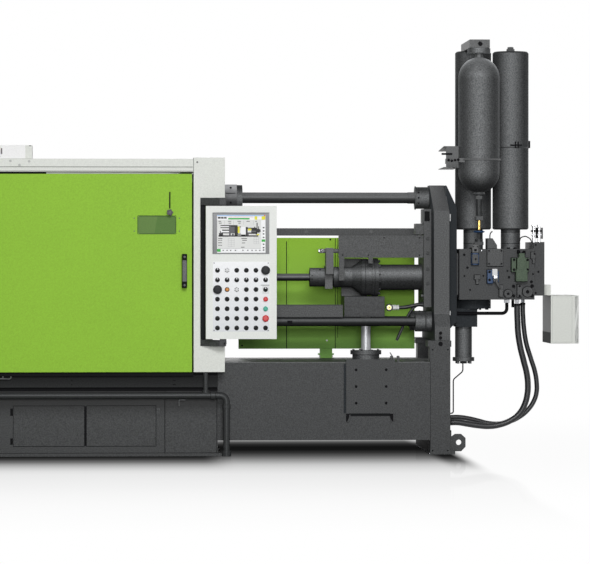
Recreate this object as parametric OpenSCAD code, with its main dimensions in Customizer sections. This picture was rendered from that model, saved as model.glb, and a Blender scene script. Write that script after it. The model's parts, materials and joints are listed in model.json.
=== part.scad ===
// Cold chamber die casting machine, in millimetres.
// +X points to the shot end, +Y to the back and +Z up. X = 0 is the fixed platen's die face,
// Y = 0 the machine's centreline and Z = 0 the floor.

/* [Clamp base] */
// Height of the clamp base's top, which the platens and the guard stand on
base_h = 515; // [480:5:620]
// How far the clamp base reaches to the left of the fixed die face
base_left = 2450; // [2440:10:2940]
// How far the clamp base reaches to the right of the fixed die face
base_right = 226; // [215:1:232]
// Height of the two hatches in the base's front
hatch_h = 244; // [160:4:256]
// Width of the left hatch
left_hatch_w = 430; // [340:2:520]
// Width of the right hatch
right_hatch_w = 421; // [340:1:520]

/* [Clamp end] */
// Height of the platens' centre above the clamp base
platen_lift = 685; // [640:5:830]
// Distance between neighbouring tie bars
tie_pitch = 680; // [560:4:820]
// Diameter of a tie bar
tie_d = 100; // [80:2:120]
// Width of platen beyond a tie bar's centre
platen_margin = 130; // [100:2:160]
// Thickness of the fixed platen
fixed_platen_t = 200; // [190:2:226]
// Thickness of the moving platen
moving_platen_t = 220; // [180:4:260]
// Gap between the die faces with the clamp closed and no die fitted
die_gap = 450; // [360:5:540]
// Travel of the moving platen
clamp_stroke = 400; // [320:5:480]
// Diameter of the clamp ram
ram_d = 240; // [200:4:280]
// Travel of the ejector plate
ejector_stroke = 95; // [75:1:100]

/* [Guard] */
// Gap from the platens' sides to the outside of the guard
guard_gap = 180; // [170:2:220]
// Width of the sliding doors
door_w = 1317; // [1150:1:1340]
// Travel of the sliding doors
door_stroke = 1100; // [900:10:1110]
// Width of the guard's right columns
column_w = 191; // [181:1:229]
// Length of the door's window
window_w = 232; // [190:2:280]
// Height of the door's window
window_h = 110; // [90:2:132]

/* [Operator panel] */
// Width of the operator panel
panel_w = 429; // [400:1:514]
// Height of the operator panel
panel_h = 807; // [790:1:820]
// Thickness of the operator panel
panel_t = 70; // [60:1:84]
// Distance between neighbouring controls
control_pitch = 58.3; // [50:0.1:62]
// Diameter of an ordinary control
control_d = 29; // [24:0.5:34]

/* [Shot end] */
// How far the shot axis lies below the platens' centre
shot_drop = 111; // [90:1:132]
// Distance from the fixed die face to the C-frame's face
shot_reach = 1572; // [1480:1:1890]
// Height of the shot base's top
shot_base_h = 570; // [480:5:590]
// Distance from the centreline to the shot base's front and back
shot_base_half_w = 495; // [450:5:560]
// Travel of the shot plunger
shot_stroke = 340; // [280:5:350]
// Outside diameter of the shot cylinder's barrel
barrel_d = 160; // [150:2:190]
// Diameter of the plunger in the shot sleeve
plunger_d = 80; // [66:1:96]
// Diameter of the upper rod that ties the C-frame to the platen
upper_rod_d = 68; // [58:1:80]
// Diameter of the two lower rods
lower_rod_d = 56; // [46:1:66]
// Distance from the centreline to a lower rod
lower_rod_y = 190; // [184:1:226]

/* [Hydraulics] */
// Diameter of a gas bottle
bottle_d = 228; // [185:1:230]
// Height of a gas bottle's body
bottle_h = 1125; // [940:5:1350]
// Diameter of the bladder accumulator
bladder_d = 256; // [212:2:284]
// Width of the manifold block
manifold_w = 470; // [460:2:560]
// Diameter of the pressure hose
pressure_hose_d = 38; // [32:1:45]
// Diameter of the return hose
return_hose_d = 30; // [25:1:36]

/* [Hidden] */

DARK = [0.29, 0.3, 0.31];
BLACK = [0.1, 0.1, 0.1];
LIGHT = [0.86, 0.87, 0.84];
GREEN = [0.56, 0.75, 0.26];
STEEL = [0.7, 0.71, 0.72];
BLUE = [0.16, 0.3, 0.5];

$fn = 48;
gap = 0.3;          // between pieces that move past each other or seat in a round hole
cut = 1;            // how far a cut runs past the faces that it opens

// Places given as their distances from one place
function from(place, span) = [for (s = span) place + s];

// Heights of the clamp base's steps, counted down from its top
neck_z = base_h - 24;
channel_z = base_h - 94;
tank_z = base_h - 116;
flange_h = 18;
hatch_z = 64;
hatch_gap = 15;
hatch_t = 4;
left_hatch_x = -588 - left_hatch_w;
right_hatch_x = -588 + hatch_gap;
pocket_depth = 450;
hinge_d = 7;
anchor_y = 400;
anchor_d = 18;
ear_l = 80;
ear_w = 120;
ear_t = 20;
foot_t = 26;
door_rail_out = 25;
foot_ledge = 30;
flange_ledge = 24;

// Platens
axis_z = base_h + platen_lift;
shot_z = axis_z - shot_drop;
half_w = tie_pitch / 2 + platen_margin;
half_h = tie_pitch / 2 + platen_margin + 5;
moving_x = -die_gap;
moving_back = moving_x - moving_platen_t;
ejector_rod_out = ejector_stroke + 15;
ejector_body = 160;
ejector_x = moving_back - ejector_body - ejector_rod_out;
ejector_t = 30;
clamp_platen_x = ejector_x - ejector_t - clamp_stroke - 30;
clamp_platen_t = 250;
clamp_back = clamp_platen_x - clamp_platen_t;
ram_overlap = 100;
cylinder_wall = 90;
cylinder_end = clamp_back - ram_overlap - clamp_stroke - 150;
tie_nut_d = 1.6 * tie_d;
tie_nut_t = 75;
rod_nut_t = 70;
slide_y = [300, 400];
slide_h = 30;
ejector_pin_y = 170;
ejector_pin_z = 150;
ejector_pin_d = 28;
ejector_cylinder_y = 290;

// Guard
guard_y = half_w + guard_gap;
base_y = guard_y - 50;
column_x = 77.6;
column_right = column_x + column_w;
column_depth = 150;
notch_x = column_x + 41.4;
notch_z = [base_h + 160, base_h + 1061];
beam_z = axis_z + half_h + 60;
beam_h = 79;
column_top = beam_z + 87;
beam_depth = 90;
door_right = 68;
door_top = beam_z - 12;
door_t = 40;
door_x = door_right - door_w;
window_x = -30 - window_w;
window_z = base_h + 842;
handle_x = [6.5, 37];
handle_z = [base_h + 513, base_h + 720];
knob_at = [-67, base_h + 973];
middle_beam_x = [-1330, -1250];

// Operator panel
panel_x = 150;
panel_z = base_h + 204;
panel_front = -guard_y - 110;
panel_back = panel_front + panel_t;
pivot = [255, panel_front + panel_t / 2];
pivot_d = 24;
screen_x = [192, 534];
screen_z = from(panel_z, [516, 765]);
plate_z = from(panel_z, [46, 468]);
plate_t = 3;
control_x = 219.7;
control_z = panel_z + 417;
stem_d = 16;
stem_in = 14;
function control_at(column, row) = [control_x + column * control_pitch, control_z - row * control_pitch];

// Shot end
cf = shot_reach;
frame_back = cf + 160;
upper_rod_z = shot_z + 499;
lower_rod_z = shot_z - 276;
shot_left = base_right;
post_x = [cf - 35, cf + 91];
post_top = shot_base_h + 94;
block_top = post_top + 37;
post_face = post_x[1];
plate_x = cf - 47;
rod_seat = 55;
rod_step = 8;
gland_x = cf - 600;
piston_rod_d = 70;
coupling_x = cf - 750;
arm_x = [cf - 656, cf - 609];
sleeve_end = 480;
sleeve_wall = 25;
sleeve_d = plunger_d + 2 * sleeve_wall;
pour_x = [330, 420];
flange_d = barrel_d + 79;
sensor_z = shot_z + 165;
sensor_y = -140;
sensor_d = 26;
lift_x = cf - 395;
lift_rod_d = 60;
support_z = shot_z - 247;
support_right = gland_x + 312;
mount_x = from(lift_x, [-158, 144]);
mount_z = from(shot_base_h, [-318, 17]);

// Hydraulics
mx = frame_back + 8;
manifold_z = from(shot_z, [-138, 178]);
manifold_y = [-280, 250];
bottle_x = [cf + 293, cf + 531];
bottle_y = 100;
bottle_z = manifold_z[1] + 123;
bladder_at = [cf + 293, -250];
bladder_z = manifold_z[1] + 349;
bladder_top = bladder_z + 844;
boss_h = 12;
return_cylinder_x = cf + 216;
head_z = bottle_z + bottle_h + 1;
box_x = mx + 570;

// Hoses: each route's points are [x, z] in one upright plane, x counted from the C-frame's face
pressure_y = -170;
return_y = -122;
cable_y = -150;
pressure_route = [[542, 915], [542, 870], [544, 820], [548, 742], [562, 652], [584, 563], [603, 485],
  [610, 413], [606, 354], [590, 294], [558, 238], [506, 196], [440, 169], [372, 158], [300, 162],
  [222, 174], [170, 182], [128, 182]];
return_route = [[583, 920], [583, 880], [585, 840], [590, 772], [605, 676], [634, 580], [660, 497],
  [671, 425], [670, 366], [654, 314], [616, 258], [560, 212], [496, 183], [430, 170], [364, 174],
  [300, 190], [240, 204], [180, 212], [128, 212]];
cable_route = [[-200, 901], [-172, 901], [-142, 905], [-110, 912], [-77, 918], [-47, 918]];
cable_d = 24;
function along_frame(route) = [for (p = route) [cf + p[0], p[1]]];

// ---- Building blocks ----

module slab(x, y, z) {
  translate([x[0], y[0], z[0]]) cube([x[1] - x[0], y[1] - y[0], z[1] - z[0]]);
}
module bar_x(x, y, z, d, d2 = 0) {
  translate([x[0], y, z]) rotate([0, 90, 0])
    cylinder(h = x[1] - x[0], d1 = d, d2 = d2 > 0 ? d2 : d);
}
module bar_y(x, y, z, d) {
  translate([x, y[1], z]) rotate([90, 0, 0]) cylinder(h = y[1] - y[0], d = d);
}
module bar_z(x, y, z, d) {
  translate([x, y, z[0]]) cylinder(h = z[1] - z[0], d = d);
}
// A plate of the outline given in y and z, from x[0] to x[1]
module plate_yz(x, outline) {
  translate([x[0], 0, 0]) rotate([90, 0, 90]) linear_extrude(x[1] - x[0]) polygon(outline);
}
// A plate of the outline given in x and z, from y[0] to y[1]
module plate_xz(y, outline) {
  translate([0, y[1], 0]) rotate([90, 0, 0]) linear_extrude(y[1] - y[0]) polygon(outline);
}
module both_sides() {
  children();
  mirror([0, 1, 0]) children();
}
// A pipe's elbow in the upright plane y: its corner, the centreline's radius and the quarter
module elbow(corner, y, d, bend, turn) {
  translate([corner[0], y, corner[1]]) rotate([90, 0, 0]) rotate([0, 0, turn])
    translate([-bend, -bend, 0]) rotate_extrude(angle = 90) translate([bend, 0]) circle(d = d);
}

// A hose swept along points [x, z] in the plane y
function unit(v) = v / norm(v);
function heading(route, i) =
  i == 0 ? unit(route[1] - route[0]) :
  i == len(route) - 1 ? unit(route[i] - route[i - 1]) :
  unit(unit(route[i + 1] - route[i]) + unit(route[i] - route[i - 1]));
function ring(route, i, y, d, sides) = let (t = heading(route, i))
  [for (k = [0:sides - 1]) let (a = 360 * k / sides, u = d / 2 * cos(a), v = d / 2 * sin(a))
    [route[i][0] - t[1] * u, y + v, route[i][1] + t[0] * u]];
module hose(route, y, d, sides = 10) {
  n = len(route);
  points = [for (i = [0:n - 1]) each ring(route, i, y, d, sides)];
  walls = [for (i = [0:n - 2]) for (k = [0:sides - 1])
    let (a = i * sides + k, b = i * sides + (k + 1) % sides)
    each [[a, b, a + sides], [b, b + sides, a + sides]]];
  ends = [[for (k = [0:sides - 1]) sides - 1 - k], [for (k = [0:sides - 1]) (n - 1) * sides + k]];
  polyhedron(points = points, faces = concat(walls, ends), convexity = 6);
}

// ---- Clamp base ----

module clamp_base() color(DARK) difference() {
  union() {
    slab([-base_left, base_right + flange_ledge], [-base_y - 6, base_y + 6], [0, flange_h]);
    slab([-base_left, base_right], [-base_y, base_y], [flange_h, tank_z]);
    slab([-base_left, base_right], [-base_y + 30, base_y - 30], [tank_z, channel_z]);
    slab([-base_left, base_right], [-base_y, base_y], [channel_z, neck_z]);
    slab([-base_left, base_right], [-base_y + 12, base_y - 12], [neck_z, base_h]);
    // Rails that the sliding doors stand on
    both_sides() slab([-base_left, column_x], from(-base_y, [-door_rail_out, 12]), [neck_z, base_h]);
    // Slideways under the moving platen
    both_sides() slab([clamp_platen_x + 20, -20], slide_y, [base_h, base_h + slide_h]);
    // Anchor ears at the left end
    both_sides() slab([-base_left - ear_l, -base_left], from(anchor_y, [-ear_w / 2, ear_w / 2]), [0, ear_t]);
  }
  // The front is set back a little to the right of the hatches
  slab([-100, base_right + cut], [-base_y - cut, -base_y + 10], [flange_h, tank_z]);
  // Compartments behind the hatches
  for (x = [[left_hatch_x, left_hatch_w], [right_hatch_x, right_hatch_w]])
    slab([x[0] + 8, x[0] + x[1] - 8], [-base_y - 1, -base_y + pocket_depth],
      [hatch_z + 8, hatch_z + hatch_h - 8]);
  both_sides() bar_z(-base_left - ear_l / 2, anchor_y, [-cut, ear_t + cut], anchor_d);
}

// A hatch hinged on the vertical pin at x = hinge, reaching to the side given by dir
module hatch(x, w, hinge) {
  slab([x, x + w], [-base_y - gap - hatch_t, -base_y - gap], [hatch_z, hatch_z + hatch_h]);
  for (z = [hatch_z + 14, hatch_z + hatch_h - 54])
    bar_z(hinge, -base_y - gap - hatch_t, [z, z + 40], hinge_d);
}
module left_hatch() color(DARK) hatch(left_hatch_x, left_hatch_w, left_hatch_x);
module right_hatch() color(DARK)
  hatch(right_hatch_x, right_hatch_w, right_hatch_x + right_hatch_w);

// ---- Platens and clamp ----

// Four tie bar places, as [y, z]
tie_at = [for (y = [-1, 1]) for (z = [-1, 1]) [y * tie_pitch / 2, axis_z + z * tie_pitch / 2]];
bolt_d = 24;
bolt_depth = 60;
wide = [tie_pitch / 2 + 60, 140];

module platen_block(x) difference() {
  slab(x, [-half_w, half_w], [axis_z - half_h, axis_z + half_h]);
  for (p = tie_at) bar_x(x + [-cut, cut], p[0], p[1], tie_d + 2 * gap);
}
// Threaded holes for the die's bolts in the face at x: dir is 1 where the platen lies to its left
module die_bolt_holes(x, dir) {
  for (s = [[wide[0], wide[1]], [wide[1], wide[0]]]) for (y = [-1, 1]) for (z = [-1, 1])
    bar_x(dir > 0 ? [x - bolt_depth, x + cut] : [x - cut, x + bolt_depth],
      y * s[0], axis_z + z * s[1], bolt_d);
}
module platen_feet(x) both_sides()
  slab(x, [slide_y[0] - 40, slide_y[1] + 40], [base_h, axis_z - half_h]);

module fixed_platen() color(DARK) difference() {
  union() {
    platen_block([0, fixed_platen_t]);
    platen_feet([0, fixed_platen_t]);
  }
  die_bolt_holes(0, -1);
  bar_x([-cut, fixed_platen_t + cut], 0, shot_z, sleeve_d + 0.2);
  both_sides() slab([-20, 1], slide_y, [base_h - cut, base_h + slide_h + cut]);
}
module clamp_platen() color(DARK) difference() {
  union() {
    platen_block([clamp_back, clamp_platen_x]);
    platen_feet([clamp_back, clamp_platen_x]);
  }
  bar_x([clamp_back - cut, clamp_platen_x + cut], 0, axis_z, ram_d + 2 * gap);
}
module moving_platen() color(DARK) difference() {
  union() {
    platen_block([moving_back, moving_x]);
    both_sides() slab([moving_back, moving_x], slide_y, [base_h + slide_h + gap, axis_z - half_h]);
  }
  die_bolt_holes(moving_x, 1);
  for (y = [-1, 1]) for (z = [-1, 1])
    bar_x([moving_back - cut, moving_x + cut], y * ejector_pin_y, axis_z + z * ejector_pin_z,
      ejector_pin_d + 2 * gap);
}
module tie_bars() color(STEEL)
  for (p = tie_at) bar_x([clamp_back - tie_nut_t, fixed_platen_t + tie_nut_t], p[0], p[1], tie_d);

module ring_x(x, y, z, d, bore) difference() {
  bar_x(x, y, z, d);
  bar_x(x + [-cut, cut], y, z, bore);
}
module bar_nuts() color(DARK) {
  for (p = tie_at) {
    ring_x([fixed_platen_t, fixed_platen_t + tie_nut_t], p[0], p[1], tie_nut_d, tie_d + 2 * gap);
    ring_x([clamp_back - tie_nut_t, clamp_back], p[0], p[1], tie_nut_d, tie_d + 2 * gap);
  }
  // Upper rod: split nut and flange at the platen, collar at the C-frame
  ring_x([fixed_platen_t, 364], 0, upper_rod_z, upper_rod_d + 99, upper_rod_d + 2 * gap);
  ring_x([364, 398], 0, upper_rod_z, upper_rod_d + 92, upper_rod_d + 2 * gap);
  ring_x([cf - 81, cf], 0, upper_rod_z, upper_rod_d + 69, upper_rod_d + 2 * gap);
  ring_x([cf - 87, cf - 81], 0, upper_rod_z, upper_rod_d + 81, upper_rod_d + 2 * gap);
  for (y = [-1, 1]) {
    ring_x([fixed_platen_t, fixed_platen_t + rod_nut_t], y * lower_rod_y, lower_rod_z,
      lower_rod_d + 54, lower_rod_d + 2 * gap);
    ring_x([cf - 101, cf], y * lower_rod_y, lower_rod_z, lower_rod_d + 68, lower_rod_d + 2 * gap);
  }
}
module clamp_cylinder() color(DARK) difference() {
  union() {
    bar_x([cylinder_end, clamp_back], 0, axis_z, ram_d + 2 * cylinder_wall);
    bar_x([clamp_back - 60, clamp_back], 0, axis_z, ram_d + 2 * cylinder_wall + 80);
  }
  bar_x([cylinder_end + 50, clamp_back + cut], 0, axis_z, ram_d + 2 * gap);
}
module clamp_ram() color(STEEL) {
  bar_x([clamp_back - ram_overlap, moving_back - 40], 0, axis_z, ram_d);
  bar_x([moving_back - 40, moving_back], 0, axis_z, ram_d + 30);
}
module ejector_cylinders() color(DARK) for (y = [-1, 1])
  ring_x([moving_back - ejector_body, moving_back], y * ejector_cylinder_y, axis_z, 80, 30 + 2 * gap);
module ejector_plate() color(DARK) {
  difference() {
    slab([ejector_x - ejector_t, ejector_x], [-340, 340], from(axis_z, [-200, 200]));
    bar_x([ejector_x - ejector_t - cut, ejector_x + cut], 0, axis_z, ram_d + 60);
  }
  for (y = [-1, 1]) {
    bar_x([ejector_x, moving_back - ejector_stroke - 10], y * ejector_cylinder_y, axis_z, 30);
    for (z = [-1, 1])
      bar_x([ejector_x, moving_x - 5], y * ejector_pin_y, axis_z + z * ejector_pin_z, ejector_pin_d);
  }
}

// ---- Guard ----

module guard_columns() color(LIGHT) both_sides() {
  difference() {
    slab([column_x, column_right], [-guard_y, -guard_y + column_depth], [base_h, column_top]);
    slab([notch_x, column_right + cut], from(-guard_y, [-cut, column_depth + cut]), notch_z);
  }
  slab([-base_left, -base_left + 80], [-guard_y, -guard_y + column_depth], [base_h, beam_z]);
}
module roof_frame() color(LIGHT) {
  both_sides() {
    slab([-base_left, column_x], [-guard_y, -guard_y + beam_depth], [beam_z + 31, beam_z + beam_h]);
    slab([-base_left, column_x], [-guard_y + 3, -guard_y + beam_depth], [beam_z, beam_z + 31]);
  }
  for (x = [[-base_left, -base_left + 80], middle_beam_x, [column_x - 80, column_x]])
    slab(x, [-guard_y + beam_depth - 1, guard_y - beam_depth + 1], [beam_z, beam_z + beam_h]);
  slab([-base_left, middle_beam_x[1]], [-guard_y, guard_y], [beam_z + beam_h, beam_z + beam_h + 4]);
}
module fixed_guards() color(GREEN) {
  both_sides() slab([-base_left + 80, middle_beam_x[1] + 10], [-base_y + 12, -base_y + 24],
    [base_h, beam_z]);
  slab([-base_left, -base_left + 12], [-guard_y + column_depth, guard_y - column_depth],
    [base_h, beam_z]);
}
module roof_box() color(LIGHT)
  slab([-1098, -902], [-guard_y + 8, -guard_y + beam_depth + 50], from(beam_z + beam_h, [0, 82]));

module door_leaf(window) difference() {
  slab([door_x, door_right], [-guard_y, -guard_y + door_t], [base_h + gap, door_top]);
  if (window)
    slab([window_x, window_x + window_w], from(-guard_y, [-cut, door_t + cut]),
      from(window_z, [0, window_h]));
}
module front_door() color(GREEN) {
  door_leaf(true);
  bar_z(knob_at[0], -guard_y - 4, from(knob_at[1], [24, 125]), 8);
}
module door_window() color([0.3, 0.45, 0.15, 0.6])
  slab([window_x, window_x + window_w], from(-guard_y, [6, 12]), from(window_z, [0, window_h]));
module door_handle() color(BLACK) {
  slab(handle_x, from(-guard_y, [-58, -40]), handle_z + [24, -24]);
  for (z = [handle_z + [0, -173], handle_z + [173, 0]]) slab(handle_x, from(-guard_y, [-58, 0]), z);
}
module star_knob() color(BLACK) {
  for (a = [0:72:288]) translate([knob_at[0] + 12 * cos(a), 0, knob_at[1] + 12 * sin(a)])
    bar_y(0, from(-guard_y, [-40, -20]), 0, 16);
  bar_y(knob_at[0], from(-guard_y, [-42, -18]), knob_at[1], 26);
  bar_y(knob_at[0], from(-guard_y, [-18, -gap]), knob_at[1], 12);
}
module rear_door() color(GREEN) mirror([0, 1, 0]) door_leaf(false);

// ---- Operator panel ----

module panel_arm(z) translate([0, 0, z[0]]) linear_extrude(z[1] - z[0])
  polygon([[notch_x, -guard_y + 80], [notch_x, -guard_y], [pivot[0] - 22, pivot[1] - 22],
    [pivot[0] + 18, pivot[1] - 22], [pivot[0] + 18, pivot[1] + 18], [notch_x + 56, -guard_y + 26],
    [notch_x + 56, -guard_y + 80]]);
module panel_bracket() color(BLACK) {
  panel_arm([notch_z[0], notch_z[0] + 37]);
  panel_arm([notch_z[1] - 43, notch_z[1]]);
  slab([notch_x, notch_x + 28], from(-guard_y, [10, 80]), [notch_z[0] + 36, notch_z[1] - 42]);
  bar_z(pivot[0], pivot[1], [notch_z[0] + 36, panel_z - gap], 40);
  bar_z(pivot[0], pivot[1], [notch_z[0] + 36, panel_z + 12], pivot_d);
  bar_z(pivot[0], pivot[1], [panel_z + panel_h - 12, notch_z[1] - 42], pivot_d);
}
module panel_housing() color(LIGHT) difference() {
  slab([panel_x, panel_x + panel_w], [panel_front, panel_back], from(panel_z, [0, panel_h]));
  for (z = [from(panel_z, [-1, 14]), from(panel_z + panel_h, [-14, 1])])
    bar_z(pivot[0], pivot[1], z, pivot_d + 2 * gap);
  button_stems();
}
// Holes for the stems of the buttons that travel
module button_stems() for (row = [3, 4, 5]) let (p = control_at(5, row))
  bar_y(p[0], from(panel_front, [-plate_t - 1, stem_in + 8]), p[1], stem_d + 2 * gap);
module panel_screen() color(BLACK) difference() {
  slab(screen_x, [panel_front - 6, panel_front], screen_z);
  slab([217, 511], [panel_front - 7, panel_front - 4], [screen_z[0] + 6, screen_z[1] - 12]);
}
module button_plate() color(STEEL) difference() {
  slab(screen_x, [panel_front - plate_t, panel_front], plate_z);
  button_stems();
}
module push_buttons() color(BLACK) for (row = [0:6]) for (column = [0:5]) {
  p = control_at(column, row);
  face = panel_front - plate_t;
  large = (row == 0 && column == 5) || (row == 2 && column == 0);
  if (large) {
    bar_y(p[0], [face - 12, face], p[1], control_d);
    bar_y(p[0], [face - 26, face - 12], p[1], 55);
  } else if (!(column == 5 && row >= 3 && row <= 5)) bar_y(p[0], [face - 15, face], p[1], control_d);
}
// A button that travels: its head stands clear of the plate by its travel
module travelling_button(row, d, travel) {
  p = control_at(5, row);
  face = panel_front - plate_t;
  bar_y(p[0], [face - travel - 13, face - travel - gap], p[1], d);
  bar_y(p[0], [face - travel - 1, panel_front + stem_in - travel], p[1], stem_d);
}
module stop_button() color([0.85, 0.15, 0.15]) travelling_button(3, control_d, 4);
module start_button() color([0.2, 0.7, 0.55]) travelling_button(4, control_d, 4);
module emergency_stop() color([0.85, 0.1, 0.1]) travelling_button(5, 40, 6);

// ---- Shot base ----

module shot_base() color(DARK) {
  difference() {
    union() {
      slab([shot_left, post_x[0] + 1], [-shot_base_half_w, shot_base_half_w], [90, shot_base_h]);
      slab(post_x, [-shot_base_half_w + 120, shot_base_half_w - 120], [25, shot_base_h]);
      slab([post_x[0], post_x[1] + foot_ledge], [-shot_base_half_w, shot_base_half_w], [0, foot_t]);
      both_sides() slab(post_x, [-shot_base_half_w, -shot_base_half_w + 121], [25, post_top]);
    }
    both_sides() bar_z(post_x[1] + foot_ledge / 2, anchor_y, [-cut, foot_t + cut], anchor_d);
  }
  // Lifting lugs
  both_sides() difference() {
    plate_xz(from(-shot_base_half_w, [40, 62]), [[post_face - 1, 17], [post_face + 71, 17],
      [post_face + 98, 45], [post_face + 98, 99], [post_face + 71, 124], [post_face + 34, 124],
      [post_face - 1, 99]]);
    bar_y(post_face + 56, from(-shot_base_half_w, [40 - cut, 62 + cut]), 72, 34);
  }
  // Clamp blocks that hold the C-frame's foot
  both_sides() slab([post_x[0] - 13, post_x[1] + 6], [-shot_base_half_w, -shot_base_half_w + 160],
    [post_top - 1, block_top]);
}
module mounting_plate() color(DARK) {
  face = from(-shot_base_half_w, [-12, 0]);
  difference() {
    slab(mount_x, face, mount_z);
    for (x = [mount_x[0] + 62, mount_x[1] - 56]) for (z = from(mount_z[0], [66, 168, 272]))
      bar_y(x, face + [-cut, cut], z, 12);
  }
  for (x = [mount_x[0], mount_x[1] - 30]) plate_xz(face,
    [[x + 4, mount_z[0] + 1], [x + 26, mount_z[0] + 1], [x + 26, mount_z[0] - 37],
      [x + 14, mount_z[0] - 49], [x + 4, mount_z[0] - 49]]);
}

// ---- C-frame and rods ----

module c_frame() color(DARK) {
  difference() {
    union() {
      plate_yz([cf, cf + 96], [[-380, shot_z + 410], [-60, shot_z + 577], [60, shot_z + 577],
        [380, shot_z + 410], [380, shot_z - 223], [440, shot_z - 304], [440, block_top],
        [-440, block_top], [-440, shot_z - 304], [-380, shot_z - 223]]);
      plate_xz([-200, 200], [[cf + 90, shot_z + 575], [cf + 96, shot_z + 572],
        [cf + 154, shot_z + 449], [frame_back, shot_z + 436], [frame_back, shot_z - 275],
        [cf + 112, shot_z - 327], [cf + 90, shot_z - 327]]);
    }
    bar_x([cf - cut, cf + rod_seat + 5], 0, upper_rod_z, upper_rod_d - rod_step + 2 * gap);
    for (y = [-1, 1])
      bar_x([cf - cut, cf + rod_seat + 5], y * lower_rod_y, lower_rod_z, lower_rod_d - rod_step + 2 * gap);
  }
}
module frame_rods() color(STEEL) {
  bar_x([fixed_platen_t, cf - 131], 0, upper_rod_z, upper_rod_d);
  bar_x([cf - 132, cf + rod_seat], 0, upper_rod_z, upper_rod_d - rod_step);
  for (y = [-1, 1]) {
    bar_x([fixed_platen_t, cf - 80], y * lower_rod_y, lower_rod_z, lower_rod_d);
    bar_x([cf - 81, cf + rod_seat], y * lower_rod_y, lower_rod_z, lower_rod_d - rod_step);
  }
}
module cylinder_plate() color(DARK) {
  slab([plate_x, cf], [-200, 200], from(shot_z, [-186, 339]));
  difference() {
    slab([cf - 56, cf], [-200, -80], from(shot_z, [339, 426]));
    slab([cf - 42, cf - 14], [-201, -79], from(shot_z, [350, 412]));
  }
  slab([cf - 97, plate_x + 1], [-190, -60], from(shot_z, [271, 336]));
}

// ---- Shot cylinder and plunger ----

module shot_cylinder() color(DARK) difference() {
  union() {
    bar_x([gland_x, gland_x + 32], 0, shot_z, 130);
    bar_x([gland_x + 32, gland_x + 114], 0, shot_z, 126);
    bar_x([gland_x + 114, gland_x + 173], 0, shot_z, 126, 211);
    bar_x([gland_x + 173, gland_x + 239], 0, shot_z, flange_d - 13);
    bar_x([gland_x + 239, gland_x + 280], 0, shot_z, flange_d);
    bar_x([gland_x + 280, plate_x], 0, shot_z, barrel_d);
    for (a = [15:30:345]) translate([0, 0, shot_z]) rotate([a, 0, 0])
      bar_x([gland_x + 279, gland_x + 293], 0, flange_d / 2 - 16, 18);
  }
  bar_x([gland_x - cut, gland_x + 145], 0, shot_z, piston_rod_d + 2 * gap);
  bar_x([gland_x + 140, plate_x - 20], 0, shot_z, barrel_d - 40);
}
module plunger_rod() color(STEEL) {
  bar_x([430, sleeve_end], 0, shot_z, plunger_d - 2 * gap);
  bar_x([sleeve_end - 1, coupling_x], 0, shot_z, 46);
}
module rod_coupling() color(DARK) {
  bar_x([coupling_x, arm_x[0]], 0, shot_z, 118);
  bar_x([arm_x[1], gland_x + 484], 0, shot_z, piston_rod_d);
  bar_x([gland_x + 483, gland_x + 528], 0, shot_z, barrel_d - 40 - 2 * gap);
}
module sensor_arm() color(DARK) {
  slab(arm_x, [-64, 64], from(shot_z, [-72, 72]));
  slab(arm_x, [-160, -40], from(shot_z, [20, 184]));
  bar_x([arm_x[0] - 41, arm_x[0]], sensor_y, sensor_z, sensor_d);
  bar_x([arm_x[1], cf - 180], sensor_y, sensor_z, sensor_d);
}
module shot_sleeve() color(STEEL) difference() {
  union() {
    bar_x([-12, 1], 0, shot_z, sleeve_d - 20);
    bar_x([0, sleeve_end], 0, shot_z, sleeve_d);
    bar_x([fixed_platen_t, fixed_platen_t + 15], 0, shot_z, sleeve_d + 30);
  }
  bar_x([-12 - cut, sleeve_end + cut], 0, shot_z, plunger_d);
  slab(pour_x, [-30, 30], from(shot_z, [0, sleeve_d]));
}
module sensor_cover() color(DARK) {
  slab([cf - 579, plate_x], [-178, -170], from(shot_z, [123, 262]));
  slab([cf - 576, cf - 542], [-178, -170], from(shot_z, [-20, 124]));
  slab([cf - 392, cf - 364], [-178, -170], from(shot_z, [87, 124]));
  difference() {
    slab([cf - 480, plate_x], [-171, -110], from(sensor_z, [-30, 30]));
    bar_x([cf - 481, cf - 150], sensor_y, sensor_z, sensor_d + 2 * gap);
  }
}
module support_block() color(DARK) {
  slab([gland_x + 59, support_right], [-150, 150], [support_z, shot_z - flange_d / 2 - gap]);
  slab([gland_x + 59, gland_x + 222], [128, 150], from(shot_z, [-flange_d / 2 - 1, 118]));
}
module lift_cylinder() color(DARK) {
  bar_z(lift_x, 0, [shot_base_h, shot_base_h + 35], 170);
  bar_z(lift_x, 0, [shot_base_h + 34, shot_base_h + 60], 195);
  bar_z(lift_x, 0, [shot_base_h + 59, support_z], lift_rod_d);
}
module cable_tray() color(DARK)
  slab([fixed_platen_t + rod_nut_t + gap, cf - 556], [-lower_rod_y - 50, -lower_rod_y + 35],
    from(lower_rod_z + lower_rod_d / 2 + gap, [0, 78]));
module upper_rail() color(DARK) {
  slab([fixed_platen_t, cf], [340, 380], from(shot_z, [264, 311]));
  for (x = [fixed_platen_t + 100, cf - 460, cf - 150])
    slab([x, x + 30], [368, 380], from(shot_z, [180, 265]));
}
module rear_panel() color(GREEN) {
  slab([fixed_platen_t + 189, cf - 54], [380, 395], [shot_base_h + 59, shot_z + 250]);
  slab(from(cf, [-661, -584]), [360, 420], [shot_base_h, shot_base_h + 60]);
}

// ---- Hydraulics ----

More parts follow.
